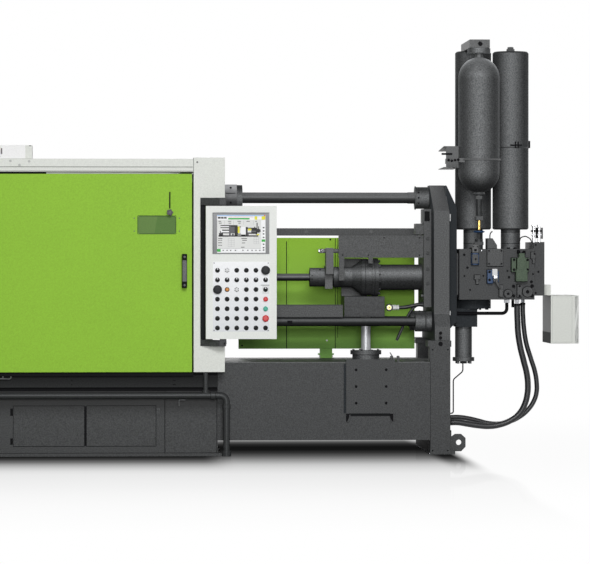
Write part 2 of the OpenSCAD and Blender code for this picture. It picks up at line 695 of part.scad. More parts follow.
module gas_bottles() color(DARK) for (x = bottle_x) {
  bar_z(x, bottle_y, [manifold_z[1], bottle_z + 1], 123);
  translate([x, bottle_y, bottle_z]) rotate_extrude()
    polygon([[0, 0], [bottle_d / 2 - 8, 0], [bottle_d / 2, 8], [bottle_d / 2, bottle_h - 10],
      [bottle_d / 2 - 10, bottle_h], [0, bottle_h]]);
}
module bladder_accumulator() color(DARK) {
  translate([bladder_at[0], bladder_at[1], 0]) rotate_extrude() union() {
    intersection() {
      translate([0, bladder_z + bladder_d / 2]) circle(d = bladder_d);
      translate([0, bladder_z - 1]) square([bladder_d, bladder_d / 2 + 1]);
    }
    translate([0, bladder_z + bladder_d / 2 - 1])
      square([bladder_d / 2, bladder_top - bladder_z - bladder_d + 2]);
    intersection() {
      translate([0, bladder_top - bladder_d / 2]) circle(d = bladder_d);
      translate([0, bladder_top - bladder_d / 2]) square([bladder_d, bladder_d / 2 + 1]);
    }
    translate([0, bladder_z - boss_h]) square([22, boss_h + 5]);
    translate([0, bladder_top - 12]) square([25, 38]);
    translate([0, bladder_top + 25]) square([71, head_z - bladder_top - 25]);
  }
}
module accumulator_head() color(DARK) difference() {
  slab(from(bladder_at[0], [-65, 62]), [-310, 215], from(head_z, [0, 52]));
  bar_y(bladder_at[0], [-311, -270], head_z + 26, 25);
}
// The bracket grips the bladder accumulator with a strap and is bolted to the bottle behind it
module accumulator_bracket() color(DARK) {
  z = bladder_z + 200;
  front = bladder_at[1] - 30;
  right = bladder_at[0] - bladder_d / 2 - 2;
  difference() {
    bar_z(bladder_at[0], bladder_at[1], [z, z + 12], bladder_d + 16);
    bar_z(bladder_at[0], bladder_at[1], [z - cut, z + 12 + cut], bladder_d + 2 * gap);
  }
  slab([cf + 85, right], [front, front + 12], from(z, [-43, 86]));
  plate_yz([cf + 69, right], [[front, z + 90], [front, z + 86], [front + 340, z + 66],
    [front + 340, z + 70]]);
  plate_yz([cf + 69, right], [[front, z - 40], [front, z - 44], [front + 340, z - 48],
    [front + 340, z - 44]]);
  slab([right - 48, right - 2], [front + 12, bottle_y], from(z, [-10, 22]));
}
module manifold() color(DARK) {
  slab([mx, mx + manifold_w], manifold_y, manifold_z);
  slab([mx + manifold_w - 1, mx + manifold_w + 67], [-240, 200], from(shot_z, [-114, 221]));
  slab([frame_back, mx + 1], [-200, 200], from(shot_z, [-110, 150]));
  bar_z(cf + 276, -60, [manifold_z[0] - 58, manifold_z[0] + 1], 224);
  slab([frame_back, frame_back + 134], [-150, 30], from(shot_z, [-310, -195]));
}
module valves() color(BLUE) {
  front = manifold_y[0];
  slab(from(mx, [82, 125]), [front - 40, front], from(shot_z, [78, 156]));
  slab(from(mx, [176, 248]), [front - 45, front], from(shot_z, [-30, 50]));
  slab(from(mx, [178, 278]), [front - 22, front], from(shot_z, [70, 178]));
  slab(from(mx, [330, 436]), [front - 30, front], from(shot_z, [-2, 140]));
  bar_y(mx + 307, [front - 10, front], shot_z - 90, 52);
  bar_y(mx + 425, [front - 10, front], shot_z - 90, 56);
  slab(from(mx, [178, 240]), [front + 4, -120], from(manifold_z[1], [0, 50]));
}
module valve_wheel() color(BLUE) difference() {
  bar_z(bladder_at[0], bladder_at[1], from(manifold_z[1], [102, 112]), 72);
  bar_z(bladder_at[0], bladder_at[1], from(manifold_z[1], [101, 113]), 14 + 2 * gap);
}
module return_cylinder() color(DARK) {
  bar_z(return_cylinder_x, -60, from(shot_z, [-503, -310]), 106);
  bar_z(return_cylinder_x, -60, from(shot_z, [-526, -502]), 136);
  for (a = [45:90:315])
    bar_z(return_cylinder_x + 54 * cos(a), -60 + 54 * sin(a), from(shot_z, [-542, -525]), 18);
}
module pipework() color(DARK) {
  drain_y = -base_y - 20 - gap;
  drain_z = base_h - 143;
  down_x = base_right + 53;
  // Drain pipe along the clamp base's front, with its stub and its leg to the floor
  bar_x([-base_left + 100, down_x - 40], drain_y, drain_z, 40);
  elbow([down_x, drain_z], drain_y, 40, 40, 0);
  bar_z(down_x, drain_y, [0, drain_z - 40], 40);
  bar_z(down_x, drain_y, [0, 34], 56);
  bar_z(152, drain_y, [drain_z, base_h], 30);
  bar_z(152, drain_y, [drain_z + 12, drain_z + 34], 40);
  // Pipe from the bladder accumulator down through its stop valve to the manifold
  bar_z(bladder_at[0], bladder_at[1], [manifold_z[1] + 180, bladder_z - boss_h], 34);
  bar_z(bladder_at[0], bladder_at[1], from(manifold_z[1], [60, 181]), 14);
  bar_z(bladder_at[0], bladder_at[1], from(manifold_z[1], [0, 61]), 50);
  // Return pipe from the manifold's underside to the C-frame
  return_x = mx + 309;
  return_z = manifold_z[0] - 87;
  bar_z(return_x, -170, [return_z + 30, manifold_z[0]], 21);
  elbow([return_x, return_z], -170, 21, 30, -90);
  bar_x([frame_back, return_x - 30], -170, return_z, 21);
}
module fittings() color(STEEL) {
  for (end = [[along_frame(pressure_route), pressure_y, pressure_hose_d],
              [along_frame(return_route), return_y, return_hose_d]]) {
    top = end[0][0];
    foot = end[0][len(end[0]) - 1];
    bar_z(top[0], end[1], [top[1], manifold_z[0]], end[2] + 6);
    bar_x([post_face, foot[0]], end[1], foot[1], end[2] + 4);
  }
  plug = along_frame(cable_route)[0];
  bar_y(support_right + 27, [cable_y - 20, cable_y - 11], plug[1], 46);
  slab([support_right, plug[0]], from(cable_y, [-12, 12]), from(plug[1], [-12, 12]));
  for (x = from(lift_x, [132, 172])) bar_z(x, -380, from(shot_base_h, [0, 34]), 20);
  for (x = from(mx, [480, 515])) bar_z(x, -150, from(shot_z, [221, 330]), 22);
}
module pressure_hose() color(BLACK) hose(along_frame(pressure_route), pressure_y, pressure_hose_d);
module return_hose() color(BLACK) hose(along_frame(return_route), return_y, return_hose_d);
module sensor_cable() color(BLACK) hose(along_frame(cable_route), cable_y, cable_d, 8);
module electric_box() color(LIGHT) {
  slab(from(box_x, [9, 186]), [-220, 187], from(shot_z, [-414, -113]));
  slab([mx + manifold_w + 67, box_x + 30], [-60, 20], from(shot_z, [-113, -47]));
}

clamp_base();
shot_base();
mounting_plate();
fixed_platen();
clamp_platen();
tie_bars();
bar_nuts();
clamp_cylinder();
guard_columns();
roof_frame();
fixed_guards();
roof_box();
panel_bracket();
c_frame();
frame_rods();
cylinder_plate();
shot_cylinder();
shot_sleeve();
cable_tray();
support_block();
lift_cylinder();
upper_rail();
rear_panel();
sensor_cover();
gas_bottles();
bladder_accumulator();
accumulator_head();
accumulator_bracket();
manifold();
valves();
return_cylinder();
pipework();
fittings();
pressure_hose();
return_hose();
electric_box();
sensor_cable();
front_door();
door_window();
door_handle();
star_knob();
rear_door();
moving_platen();
clamp_ram();
ejector_cylinders();
ejector_plate();
plunger_rod();
rod_coupling();
sensor_arm();
panel_housing();
panel_screen();
button_plate();
push_buttons();
emergency_stop();
start_button();
stop_button();
left_hatch();
right_hatch();
valve_wheel();
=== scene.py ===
"""Looks of a cold chamber die casting machine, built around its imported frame. Metres, +Z up.

Sizes in the calls below are in millimetres, as in the part's own source, and the helpers turn them to metres.
"""
import json
import math
import bpy
from mathutils import Matrix, Vector

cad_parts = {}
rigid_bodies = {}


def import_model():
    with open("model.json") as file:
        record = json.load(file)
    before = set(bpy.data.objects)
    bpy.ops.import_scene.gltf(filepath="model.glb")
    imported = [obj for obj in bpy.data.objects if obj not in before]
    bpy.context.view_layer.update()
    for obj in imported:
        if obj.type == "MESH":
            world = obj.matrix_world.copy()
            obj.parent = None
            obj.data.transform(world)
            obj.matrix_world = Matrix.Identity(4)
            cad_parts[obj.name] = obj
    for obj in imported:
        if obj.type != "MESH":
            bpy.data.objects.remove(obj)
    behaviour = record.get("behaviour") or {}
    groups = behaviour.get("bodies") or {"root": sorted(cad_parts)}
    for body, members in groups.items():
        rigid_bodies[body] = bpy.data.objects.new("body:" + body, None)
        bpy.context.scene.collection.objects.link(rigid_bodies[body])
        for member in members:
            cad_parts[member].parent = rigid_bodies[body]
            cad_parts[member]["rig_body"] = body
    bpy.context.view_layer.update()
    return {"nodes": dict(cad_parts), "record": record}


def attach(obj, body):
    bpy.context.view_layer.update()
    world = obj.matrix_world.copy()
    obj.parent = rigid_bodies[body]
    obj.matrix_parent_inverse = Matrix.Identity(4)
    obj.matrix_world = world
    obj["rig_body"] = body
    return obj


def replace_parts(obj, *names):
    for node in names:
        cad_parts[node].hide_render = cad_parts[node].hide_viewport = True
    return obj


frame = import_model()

NODES = frame["nodes"]
SLOT = {part["node"]: part["material_slot"] for part in frame["record"]["subparts"]}
MM = 0.001
FRONT, RIGHT, UP, DOWN = (0, -1, 0), (1, 0, 0), (0, 0, 1), (0, 0, -1)
SHARP = math.radians(30)  # edges that turn by more than this are rounded
DOOR, PANEL = "front_door", "operator_panel"

# ---------------------------------------------------------------- camera

EYE = Vector((-0.4205, -21.65, 1.223))
AIM = Vector((0.696, -0.650, 1.064))
SENSOR, LENS, FAR_END = 36, 210.4, 200  # millimetres, millimetres and metres


def facing(place, aim):
    """The turn that lets a camera or a lamp at the place look at the aim."""
    return (Vector(aim) - Vector(place)).to_track_quat("-Z", "Y").to_euler()


def add_camera():
    """A long lens that stands level with the door's window and looks a little to the right."""
    bpy.ops.object.camera_add(location=EYE, rotation=facing(EYE, AIM))
    camera = bpy.context.active_object
    camera.name = "camera"
    camera.data.sensor_width, camera.data.lens, camera.data.clip_end = SENSOR, LENS, FAR_END
    bpy.context.scene.camera = camera


# ---------------------------------------------------------------- shared modelling steps


def deselect():
    """Nothing is selected, so an operator acts only on what is selected after this."""
    if bpy.context.object and bpy.context.object.mode != "OBJECT":
        bpy.ops.object.mode_set(mode="OBJECT")
    bpy.ops.object.select_all(action="DESELECT")


def select(piece):
    deselect()
    piece.select_set(True)
    bpy.context.view_layer.objects.active = piece
    return piece


def edit_all():
    """Edit mode with the whole mesh selected."""
    bpy.ops.object.mode_set(mode="EDIT")
    bpy.ops.mesh.select_all(action="SELECT")


def close_up():
    """Turns all faces of the mesh outwards and leaves edit mode."""
    bpy.ops.mesh.select_all(action="SELECT")
    bpy.ops.mesh.normals_make_consistent(inside=False)
    bpy.ops.object.mode_set(mode="OBJECT")


def named(piece, name):
    piece.name = piece.data.name = name
    return piece


def active(name):
    """The object that an operator has just added, with its place put into its mesh."""
    piece = named(bpy.context.active_object, name)
    bpy.ops.object.transform_apply(location=True, rotation=True, scale=True)
    return piece


def modified(piece, kind, **settings):
    """Applies one modifier with these settings."""
    modifier = select(piece).modifiers.new("step", kind)
    for label, value in settings.items():
        setattr(modifier, label, value)
    bpy.ops.object.modifier_apply(modifier="step")


def round_edges(piece, width, segments=2):
    """Rounds every sharp edge, shades the rest smooth and keeps the large faces flat."""
    if width:
        modified(piece, "BEVEL", width=width * MM, segments=segments, limit_method="ANGLE", angle_limit=SHARP)
    select(piece)
    bpy.ops.object.shade_smooth_by_angle(angle=SHARP + math.radians(6))
    modified(piece, "WEIGHTED_NORMAL", keep_sharp=True)
    return piece


def block(x, y, z, width=1.5, segments=2):
    """A rounded block from its spans."""
    deselect()
    spans = [Vector(span) * MM for span in (x, y, z)]
    bpy.ops.mesh.primitive_cube_add(size=1, location=[(s[0] + s[1]) / 2 for s in spans],
                                    scale=[s[1] - s[0] for s in spans])
    return round_edges(active("block"), width, segments)


def blocks(width, *spans):
    """Blocks with the same rounding, each from x, x, y, y, z, z."""
    return [block(s[:2], s[2:4], s[4:], width) for s in spans]


def prism(outline, span, width=1.5):
    """A plate of the outline, drawn in x and z and drawn out over the span of y."""
    deselect()
    bpy.ops.mesh.primitive_circle_add(vertices=len(outline), radius=MM, fill_type="NGON")
    piece = active("prism")
    for vertex, (x, z) in zip(piece.data.vertices, outline):
        vertex.co = [v * MM for v in (x, span[0], z)]
    edit_all()
    bpy.ops.mesh.extrude_region_move(TRANSFORM_OT_translate={"value": (0, (span[1] - span[0]) * MM, 0)})
    close_up()
    return round_edges(piece, width)


def turned(start, axis, profile, sides=32, width=0.0, cap=True):
    """A piece turned on a lathe: from start along the axis, rings at (distance, radius)."""
    deselect()
    start, axis = Vector(start) * MM, Vector(axis).normalized()
    along, radius = (value * MM for value in profile[0])
    bpy.ops.mesh.primitive_circle_add(vertices=sides, radius=radius, fill_type="NGON" if cap else "NOTHING",
                                      location=start + axis * along, rotation=axis.to_track_quat("Z", "Y").to_euler())
    piece = active("turned")
    edit_all()
    extrude = bpy.ops.mesh.extrude_region_move if cap else bpy.ops.mesh.extrude_edges_move
    for point in profile[1:]:
        next_along, next_radius = (value * MM for value in point)
        extrude(TRANSFORM_OT_translate={"value": axis * (next_along - along)})
        k = next_radius / radius
        if abs(k - 1) > 1e-6:
            bpy.ops.transform.resize(value=(k, k, k), center_override=start + axis * next_along)
        along, radius = next_along, next_radius
    close_up()
    return round_edges(piece, width)


def port(place, axis, r, out, inner, deep, bore, sides):
    """A short boss with a hollow in its face."""
    return turned(place, axis, [(-1, r), (out, r), (out, inner), (deep, bore)], sides)


def rod(start, axis, length, diameter, width=1.0):
    return turned(start, axis, [(0, diameter / 2), (length, diameter / 2)], width=width)


BEND, BEND_STEPS = 1.6, 6  # how far from a corner its bend starts, in diameters, and its steps


def pipe(points, diameter):
    """A tube along a line of points, with its bends rounded."""
    deselect()
    bpy.ops.curve.primitive_nurbs_path_add()
    line = bpy.context.active_object.data
    line.splines.clear()
    path = [Vector(p) * MM for p in points]
    rounded = [path[0]]
    for before, corner, after in zip(path, path[1:], path[2:]):
        reach = min(BEND * diameter * MM, (corner - before).length * 0.45, (after - corner).length * 0.45)
        a = corner + (before - corner).normalized() * reach
        b = corner + (after - corner).normalized() * reach
        for t in (i / BEND_STEPS for i in range(BEND_STEPS + 1)):
            rounded.append(a * (1 - t) ** 2 + corner * 2 * t * (1 - t) + b * t * t)
    rounded.append(path[-1])
    spline = line.splines.new("POLY")
    spline.points.add(len(rounded) - 1)
    for point, place in zip(spline.points, rounded):
        point.co = (*place, 1)
    line.bevel_depth = diameter / 2 * MM
    line.bevel_resolution = 4
    line.use_fill_caps = True
    bpy.ops.object.convert(target="MESH")
    bpy.ops.object.shade_smooth_by_angle(angle=math.radians(40))
    return bpy.context.active_object


def around(radius, start, end, step):
    """Points on a circle, from one angle in degrees to before another."""
    return [(radius * math.cos(math.radians(a)), radius * math.sin(math.radians(a))) for a in range(start, end, step)]


def grid(xs, y, zs):
    return [(x, y, z) for x in xs for z in zs]


def copied(master, shift=(0, 0, 0)):
    """A copy with its own mesh, shifted in millimetres."""
    part = master.copy()
    part.data = master.data.copy()
    part.data.transform(Matrix.Translation(Vector(shift) * MM))
    bpy.context.scene.collection.objects.link(part)
    return part


def copies(master, places):
    """The master repeated at each place."""
    parts = [copied(master, place) for place in places]
    bpy.data.objects.remove(master)
    return parts


def screws(places, diameter, head, axis=FRONT):
    """Socket head screws seated at each place, their sockets facing along the axis."""
    r = diameter / 2
    return copies(turned((0, 0, 0), axis, [(-1, r), (head * 0.85, r), (head, r * 0.86), (head, r * 0.5),
                                           (head * 0.45, r * 0.46)], 16), places)


def bolts(places, across, head, axis=FRONT):
    """Hexagon bolt heads with a chamfered face and a washer under each."""
    r = across / 1.732  # from corner to middle
    parts = [turned((0, 0, 0), axis, [(1.5, r * 0.97), (head * 0.8, r), (head, r * 0.86)], 6),
             turned((0, 0, 0), axis, [(-1, r * 1.12), (2, r * 1.12)], 20)]
    return [part for master in parts for part in copies(master, places)]


def flattened(parts):
    """All the pieces of nested lists, in one list."""
    if not isinstance(parts, list):
        return [parts]
    return [piece for part in parts for piece in flattened(part)]


def dress(piece, material, body, slot):
    """Gives a piece its material and its body. The slot is not used."""
    piece.data.materials.clear()
    piece.data.materials.append(material)
    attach(piece, body)
    return piece


def add(name, parts, material, body="machine", slot=None):
    """Parts joined under one name, and dressed."""
    deselect()
    flat = flattened(parts)
    for part in flat:
        part.select_set(True)
    bpy.context.view_layer.objects.active = flat[0]
    if len(flat) > 1:
        bpy.ops.object.join()
    return dress(named(flat[0], name), material, body, slot or USUAL_SLOT.get(material.name, "dark_paint"))


def softened(node, material, width, segments=2):
    """A copy of a CAD node with its doubled points and flat triangles merged, and its edges rounded."""
    deselect()
    piece = named(copied(NODES[node]), node + "_finished")
    piece.parent = None
    for key in list(piece.keys()):
        del piece[key]
    select(piece)
    edit_all()
    bpy.ops.mesh.remove_doubles(threshold=1e-5)
    bpy.ops.mesh.dissolve_limited(angle_limit=math.radians(0.5))
    bpy.ops.mesh.select_all(action="DESELECT")
    bpy.ops.object.mode_set(mode="OBJECT")
    if piece.data.has_custom_normals:
        bpy.ops.mesh.customdata_custom_splitnormals_clear()
    round_edges(piece, width, segments)
    dress(piece, material, NODES[node]["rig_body"], SLOT[node])
    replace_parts(piece, node)
    return piece


def soften(*rows):
    """Several CAD nodes that need nothing more: node, material and width of the rounding."""
    for row in rows:
        softened(*row)


def paint(piece, material, where):
    """Gives another material to the faces whose centre, in millimetres, and normal pass the test."""
    piece.data.materials.append(material)
    index = len(piece.data.materials) - 1
    for face in piece.data.polygons:
        if where(face.center / MM, face.normal):
            face.material_index = index


# ---------------------------------------------------------------- materials


def group_with(name, inputs):
    """An empty shader node group with these inputs, and a colour, a roughness and a normal to give out."""
    group = bpy.data.node_groups.new(name, "ShaderNodeTree")
    for label, value in inputs.items():
        kind = {4: "Color", 3: "Vector"}.get(len(value), "Float") if isinstance(value, tuple) else "Float"
        group.interface.new_socket(name=label, in_out="INPUT", socket_type="NodeSocket" + kind).default_value = value
    for label, kind in (("Color", "Color"), ("Roughness", "Float"), ("Normal", "Vector")):
        group.interface.new_socket(name=label, in_out="OUTPUT", socket_type="NodeSocket" + kind)
    return Wiring(group), group.nodes.new("NodeGroupInput").outputs, group.nodes.new("NodeGroupOutput").inputs


class Wiring:
    """Short calls that add nodes to a node tree and wire them to values or sockets."""

    def __init__(self, tree):
        self.tree, self.nodes, self.link = tree, tree.nodes, tree.links.new

    def node(self, kind, *values, **settings):
        """A node of the kind with its properties set, and its first sockets fed."""
        made = self.nodes.new("ShaderNode" + kind)
        for label, value in settings.items():
            setattr(made, label, value)
        self.feed(made.inputs, values)
        return made

    def feed(self, sockets, values):
        for socket, value in zip(sockets, values):
            if isinstance(value, bpy.types.NodeSocket):
                self.link(value, socket)
            elif value is not None:
                socket.default_value = value

    def place(self):
        return self.node("TexCoord").outputs["Object"]

    def number(self, operation, *values):
        return self.node("Math", *values, operation=operation).outputs[0]

    def vector(self, operation, *values):
        return self.node("VectorMath", *values, operation=operation).outputs["Value" if operation == "LENGTH" else
                                                                             "Vector"]

    def times(self, color, share):
        made = self.node("VectorMath", color, operation="SCALE")
        self.feed([made.inputs["Scale"]], [share])
        return made.outputs[0]

    def noise(self, place, scale, detail):
        made = self.node("TexNoise", place)
        made.inputs["Scale"].default_value, made.inputs["Detail"].default_value = scale, detail
        return made.outputs["Fac"]

    def spread(self, value, low, high, start=0.0, end=1.0, smooth=True):
        return self.node("MapRange", value, low, high, start, end,
                         interpolation_type="SMOOTHSTEP" if smooth else "LINEAR").outputs["Result"]

    def steps(self, value, stops):
        """A ramp over a value: pairs of it and a grey or a colour."""
        low, high = stops[0][0], stops[-1][0]
        made = self.node("ValToRGB", self.spread(value, low, high, smooth=False))
        elements = made.color_ramp.elements
        colors = [(*(color if isinstance(color, tuple) else [color] * 3), 1) for _, color in stops]
        elements[0].color, elements[1].color = colors[0], colors[-1]
        for (place, _), color in list(zip(stops, colors))[1:-1]:
            elements.new((place - low) / (high - low)).color = color
        return made.outputs["Color"]

    def bump(self, height, strength, distance):
        made = self.node("Bump")
        self.feed([made.inputs[label] for label in ("Distance", "Strength", "Height")], (distance, strength, height))
        return made.outputs["Normal"]


def build_enamel_group():
    """Sprayed enamel: a fine grain in colour and height over slow drifts of tone."""
    wire, given, out = group_with("sprayed_enamel", {"Color": (0.1, 0.1, 0.1, 1), "Grain": 0.2, "Drift": 0.06,
                                                     "Roughness": 0.5, "Bump": 0.1})
    number, place = wire.number, wire.place()
    peel, grain, drift = (wire.noise(place, *look) for look in ((420, 1), (150, 3), (2.2, 3)))
    fine = number("MULTIPLY", number("SUBTRACT", grain, 0.5), given["Grain"])
    slow = number("MULTIPLY", number("SUBTRACT", drift, 0.5), given["Drift"])
    tone = number("ADD", number("MULTIPLY", fine, 6), number("ADD", number("MULTIPLY", slow, 4), 1))
    wire.feed(out, (wire.times(given["Color"], number("MAXIMUM", tone, 0.25)),
                    number("ADD", given["Roughness"], number("MULTIPLY", slow, 1.5)),
                    wire.bump(number("ADD", grain, number("MULTIPLY", peel, 0.5)), given["Bump"], 0.0008)))
    return wire.tree


def build_turned_group():
    """Ground or turned metal: fine rings of scratches round the length of the piece, and faint smears."""
    wire, given, out = group_with("turned_metal", {"Color": (0.5, 0.5, 0.5, 1), "Stretch": (400, 6, 6),
                                                   "Scratches": 0.2, "Roughness": 0.25})
    number, place = wire.number, wire.place()
    lines = wire.noise(wire.vector("MULTIPLY", place, given["Stretch"]), 1, 3)
    shade = number("MULTIPLY", number("SUBTRACT", lines, 0.5), given["Scratches"])
    worn = number("ADD", number("MULTIPLY", number("SUBTRACT", wire.noise(place, 9, 3), 0.5), 0.25),
                  number("MULTIPLY", shade, 0.5))
    wire.feed(out, (wire.times(given["Color"], number("ADD", 1, shade)), number("ADD", given["Roughness"], worn),
                    wire.bump(lines, number("MULTIPLY", given["Scratches"], 0.4), 0.0002)))
    return wire.tree


ENAMEL = build_enamel_group()
TURNED = build_turned_group()


def placed(name, group, settings, metallic, specular, edge):
    """A material made of one group with its own values. The edge is how bright it is at a grazing angle."""
    material = bpy.data.materials.new(name)
    material.use_nodes = True
    wire = Wiring(material.node_tree)
    shader = wire.nodes["Principled BSDF"].inputs
    node = wire.node("Group", node_tree=group)
    for label, value in settings.items():
        node.inputs[label].default_value = value
    for label, socket in (("Color", "Base Color"), ("Roughness", "Roughness"), ("Normal", "Normal")):
        wire.link(node.outputs[label], shader[socket])
    shader["Metallic"].default_value = metallic
    shader["Specular IOR Level"].default_value = specular
    if edge is not None:
        shader["Specular Tint"].default_value = (edge, edge, edge, 1)
    return material


def enamel(name, color, grain, bump=0.1, specular=0.2, roughness=0.5, drift=0.06, metallic=0.0):
    """A painted or moulded surface."""
    return placed(name, ENAMEL, {"Color": (*color, 1), "Grain": grain, "Drift": drift, "Roughness": roughness,
                                 "Bump": bump}, metallic, specular, 0 if metallic else None)


def metal(name, color, roughness, scratches=0.2, stretch=(400, 6, 6), edge=None):
    """A bare metal surface, its scratches running round the axis with the large stretch."""
    return placed(name, TURNED, {"Color": (*color, 1), "Stretch": stretch, "Scratches": scratches,
                                 "Roughness": roughness}, 1.0, 0.5, edge)


def follow(material, measure, base, stops):
    """Paints light and shade into the colour, by the height in metres or the turn away from the eye: pairs of it and a
    share of base.
    """
    wire = Wiring(material.node_tree)
    if measure == "height":
        value = wire.node("SeparateXYZ", wire.place()).outputs["Z"]
    else:
        value = wire.node("LayerWeight", 0.5).outputs["Facing"]
    color = wire.steps(value, [(place, share if isinstance(share, tuple) else tuple(v * share for v in base))
                               for place, share in stops])
    socket = next(node for node in wire.nodes if node.type == "GROUP").inputs["Color"]
    if socket.is_linked:
        both = wire.node("Mix", data_type="RGBA", blend_type="MULTIPLY")
        wire.feed([both.inputs[label] for label in ("Factor", "A", "B")], (1.0, socket.links[0].from_socket, color))
        color = both.outputs["Result"]
    wire.link(color, socket)
    return material


def by_height(name, base, stops, grain, **look):
    """An enamel whose colour changes slowly with the height, to paint light and shade into it."""
    return follow(enamel(name, base, grain, **look), "height", base, stops)


def by_turn(name, base, stops, grain, **look):
    """An enamel with painted shading on a round piece, following its turn away from the eye."""
    return follow(enamel(name, base, grain, **look), "turn", base, stops)


# Settings of the enamels whose sheen is painted into their colour
PAINTED_SHEEN_SETTINGS = {"bump": 0.25, "specular": 0.0, "metallic": 0.08}
CHARCOAL = (0.178, 0.184, 0.188)
DARK = enamel("charcoal_enamel", (0.0515, 0.0537, 0.0552), 0.36, 0.3)
# Painted shading on round pieces: darker away from where they face the eye, with a painted highlight at the rim
ROUND = by_turn("charcoal_painted_shading", CHARCOAL, ((0.0, 0.95), (0.03, 0.90), (0.083, 0.72), (0.2, 0.48), (0.34, 0.34),
                                             (0.56, 0.44), (0.8, 1.1), (1.0, 2.2)), 0.32, **PAINTED_SHEEN_SETTINGS)
# Painted shading as on the round pieces, darker towards the foot, with painted highlights over the top of the dome
BLADDER = follow(by_turn("bladder_charcoal_painted_shading", CHARCOAL, ((0.0, 0.95), (0.03, 0.90), (0.083, 0.72), (0.2, 0.48),
                                                        (0.34, 0.40), (0.56, 0.56), (0.8, 1.4), (1.0, 2.6)), 0.32,
                         **PAINTED_SHEEN_SETTINGS), "height", (1, 1, 1),
                 ((1.616, 0.3), (1.66, 0.45), (1.74, 1.0), (2.32, 1.0), (2.38, 1.5), (2.41, 2.2), (2.44, 2.9),
                  (2.46, 1.2)))
# A lighter charcoal for a painted highlight along a lit edge
EDGE_HIGHLIGHT = enamel("charcoal_painted_highlight", (0.13, 0.135, 0.138), 0.3)
# Painted highlight and shade across the lying barrel by height: a bright band above its middle, dark below
BARREL = by_height("barrel_charcoal_painted_shading", CHARCOAL, (
    (0.970, 0.40), (1.010, 0.26), (1.040, 0.20), (1.062, 0.22), (1.080, 0.45), (1.098, 0.85), (1.118, 1.40),
    (1.135, 1.0), (1.152, 0.5), (1.172, 0.42), (1.208, 0.5)), 0.3, **PAINTED_SHEEN_SETTINGS)
# Painted highlight and shade across the lower rods by height: a bright band above their middle, dark below
LOWER_ROD = by_height("lower_rod_painted_shading", (0.06, 0.062, 0.063), (
    (0.752, 0.5), (0.785, 0.25), (0.793, 0.35), (0.805, 0.45), (0.811, 0.8), (0.818, 1.7), (0.824, 2.5), (0.830, 2.0),
    (0.836, 1.0), (0.841, 0.4), (0.876, 0.8)), 0.12, specular=0.0, metallic=0.08)
PIPE = enamel("pipe_charcoal", (0.050, 0.052, 0.053), 0.18, 0.2, 0.0, roughness=0.34, metallic=0.25)
# Painted shade on the tank's front: darker upwards, towards the pipe above it
TANK = by_height("tank_charcoal_painted_shade", (0.048, 0.0502, 0.0515), (
    (0.10, 1.0), (0.214, 1.0), (0.233, 0.93), (0.251, 0.82), (0.269, 0.70), (0.288, 0.54), (0.306, 0.34),
    (0.324, 0.27), (0.343, 0.23), (0.393, 0.24)), 0.36, bump=0.3)
# Painted deep shade on the channel under the doors, darker still towards the doors
CHANNEL = by_height("channel_charcoal_painted_shade", (0.030, 0.031, 0.032), ((0.421, 1.0), (0.45, 0.72), (0.49, 0.40)), 0.24,
                    specular=0.05, roughness=0.6)
MID = enamel("mid_charcoal_enamel", (0.078, 0.0805, 0.082), 0.36, 0.3)
# A darker slate for painted shade on faces turned from the light and under things
SHADOW_SLATE = enamel("slate_painted_shade", (0.030, 0.034, 0.038), 0.2, 0.2, 0.05, 0.55)
FRAME = enamel("frame_charcoal", (0.084, 0.087, 0.089), 0.34, 0.3)
# A lit copy of the frame's charcoal, for painted highlights on faces that tilt up towards the light
FRAME_HIGHLIGHT = enamel("frame_charcoal_painted_highlight", (0.118, 0.121, 0.124), 0.34, 0.3)
# Near black for seams, and for painted shade and shadow
SEAM_DARK_AND_SHADE = enamel("deep_charcoal_seams_and_painted_shade", (0.014, 0.015, 0.016), 0.2, 0.1, 0.05, 0.6)
BLACK = enamel("black_enamel", (0.006, 0.006, 0.007), 0.2, specular=0.04)
GREY = enamel("mid_grey_enamel", (0.115, 0.118, 0.12), 0.22, 0.2, roughness=0.45)
LIGHT = enamel("pale_enamel", (0.78, 0.80, 0.755), 0.05, 0.05, drift=0.012)
HOUSING = enamel("white_enamel", (0.85, 0.87, 0.84), 0.04, 0.05, drift=0.012)
ROOF_WHITE = enamel("roof_box_white", (0.95, 0.95, 0.95), 0.03, 0.05, drift=0.01)
BOX_GREY = enamel("warm_grey_enamel", (0.54, 0.55, 0.53), 0.04, drift=0.02)
SEAM = enamel("seam_grey", (0.16, 0.165, 0.16), 0.04, specular=0.1)
GASKET = enamel("green_black_rubber", (0.045, 0.09, 0.03), 0.05, specular=0.1)
GREEN = enamel("green_enamel", (0.298, 0.560, 0.046), 0.07, 0.05, 0.1, drift=0.02)
# Painted shade on the green sheet: darker towards the bottom, lighter towards the top
SHEET_GREEN = by_height("green_sheet_painted_shade", (0.2, 0.42, 0.03), (
    (0.62, (0.20, 0.42, 0.09)), (0.80, (0.29, 0.55, 0.08)), (1.34, (0.34, 0.63, 0.045))), 0.07, specular=0.1,
    drift=0.02)
STEEL = metal("ground_steel", (0.36, 0.365, 0.375), 0.3)
# Painted highlight and shade across the plunger rod by height: bright on top, dark below
PLUNGER = by_height("plunger_steel_painted_shading", (0.13, 0.133, 0.137), (
    (1.064, 0.12), (1.078, 0.2), (1.086, 0.6), (1.10, 1.0), (1.114, 1.3)), 0.06, bump=0.05, specular=0.0,
    roughness=0.36, metallic=0.25)
# Browned steel with painted highlight and shade by height: bright on top, dark below
ROD = by_height("browned_rod_painted_shading", (0.145, 0.148, 0.151), (
    (1.555, 0.26), (1.57, 0.28), (1.585, 0.5), (1.60, 0.95), (1.621, 1.5)), 0.12, specular=0.0, roughness=0.42,
    metallic=0.2)
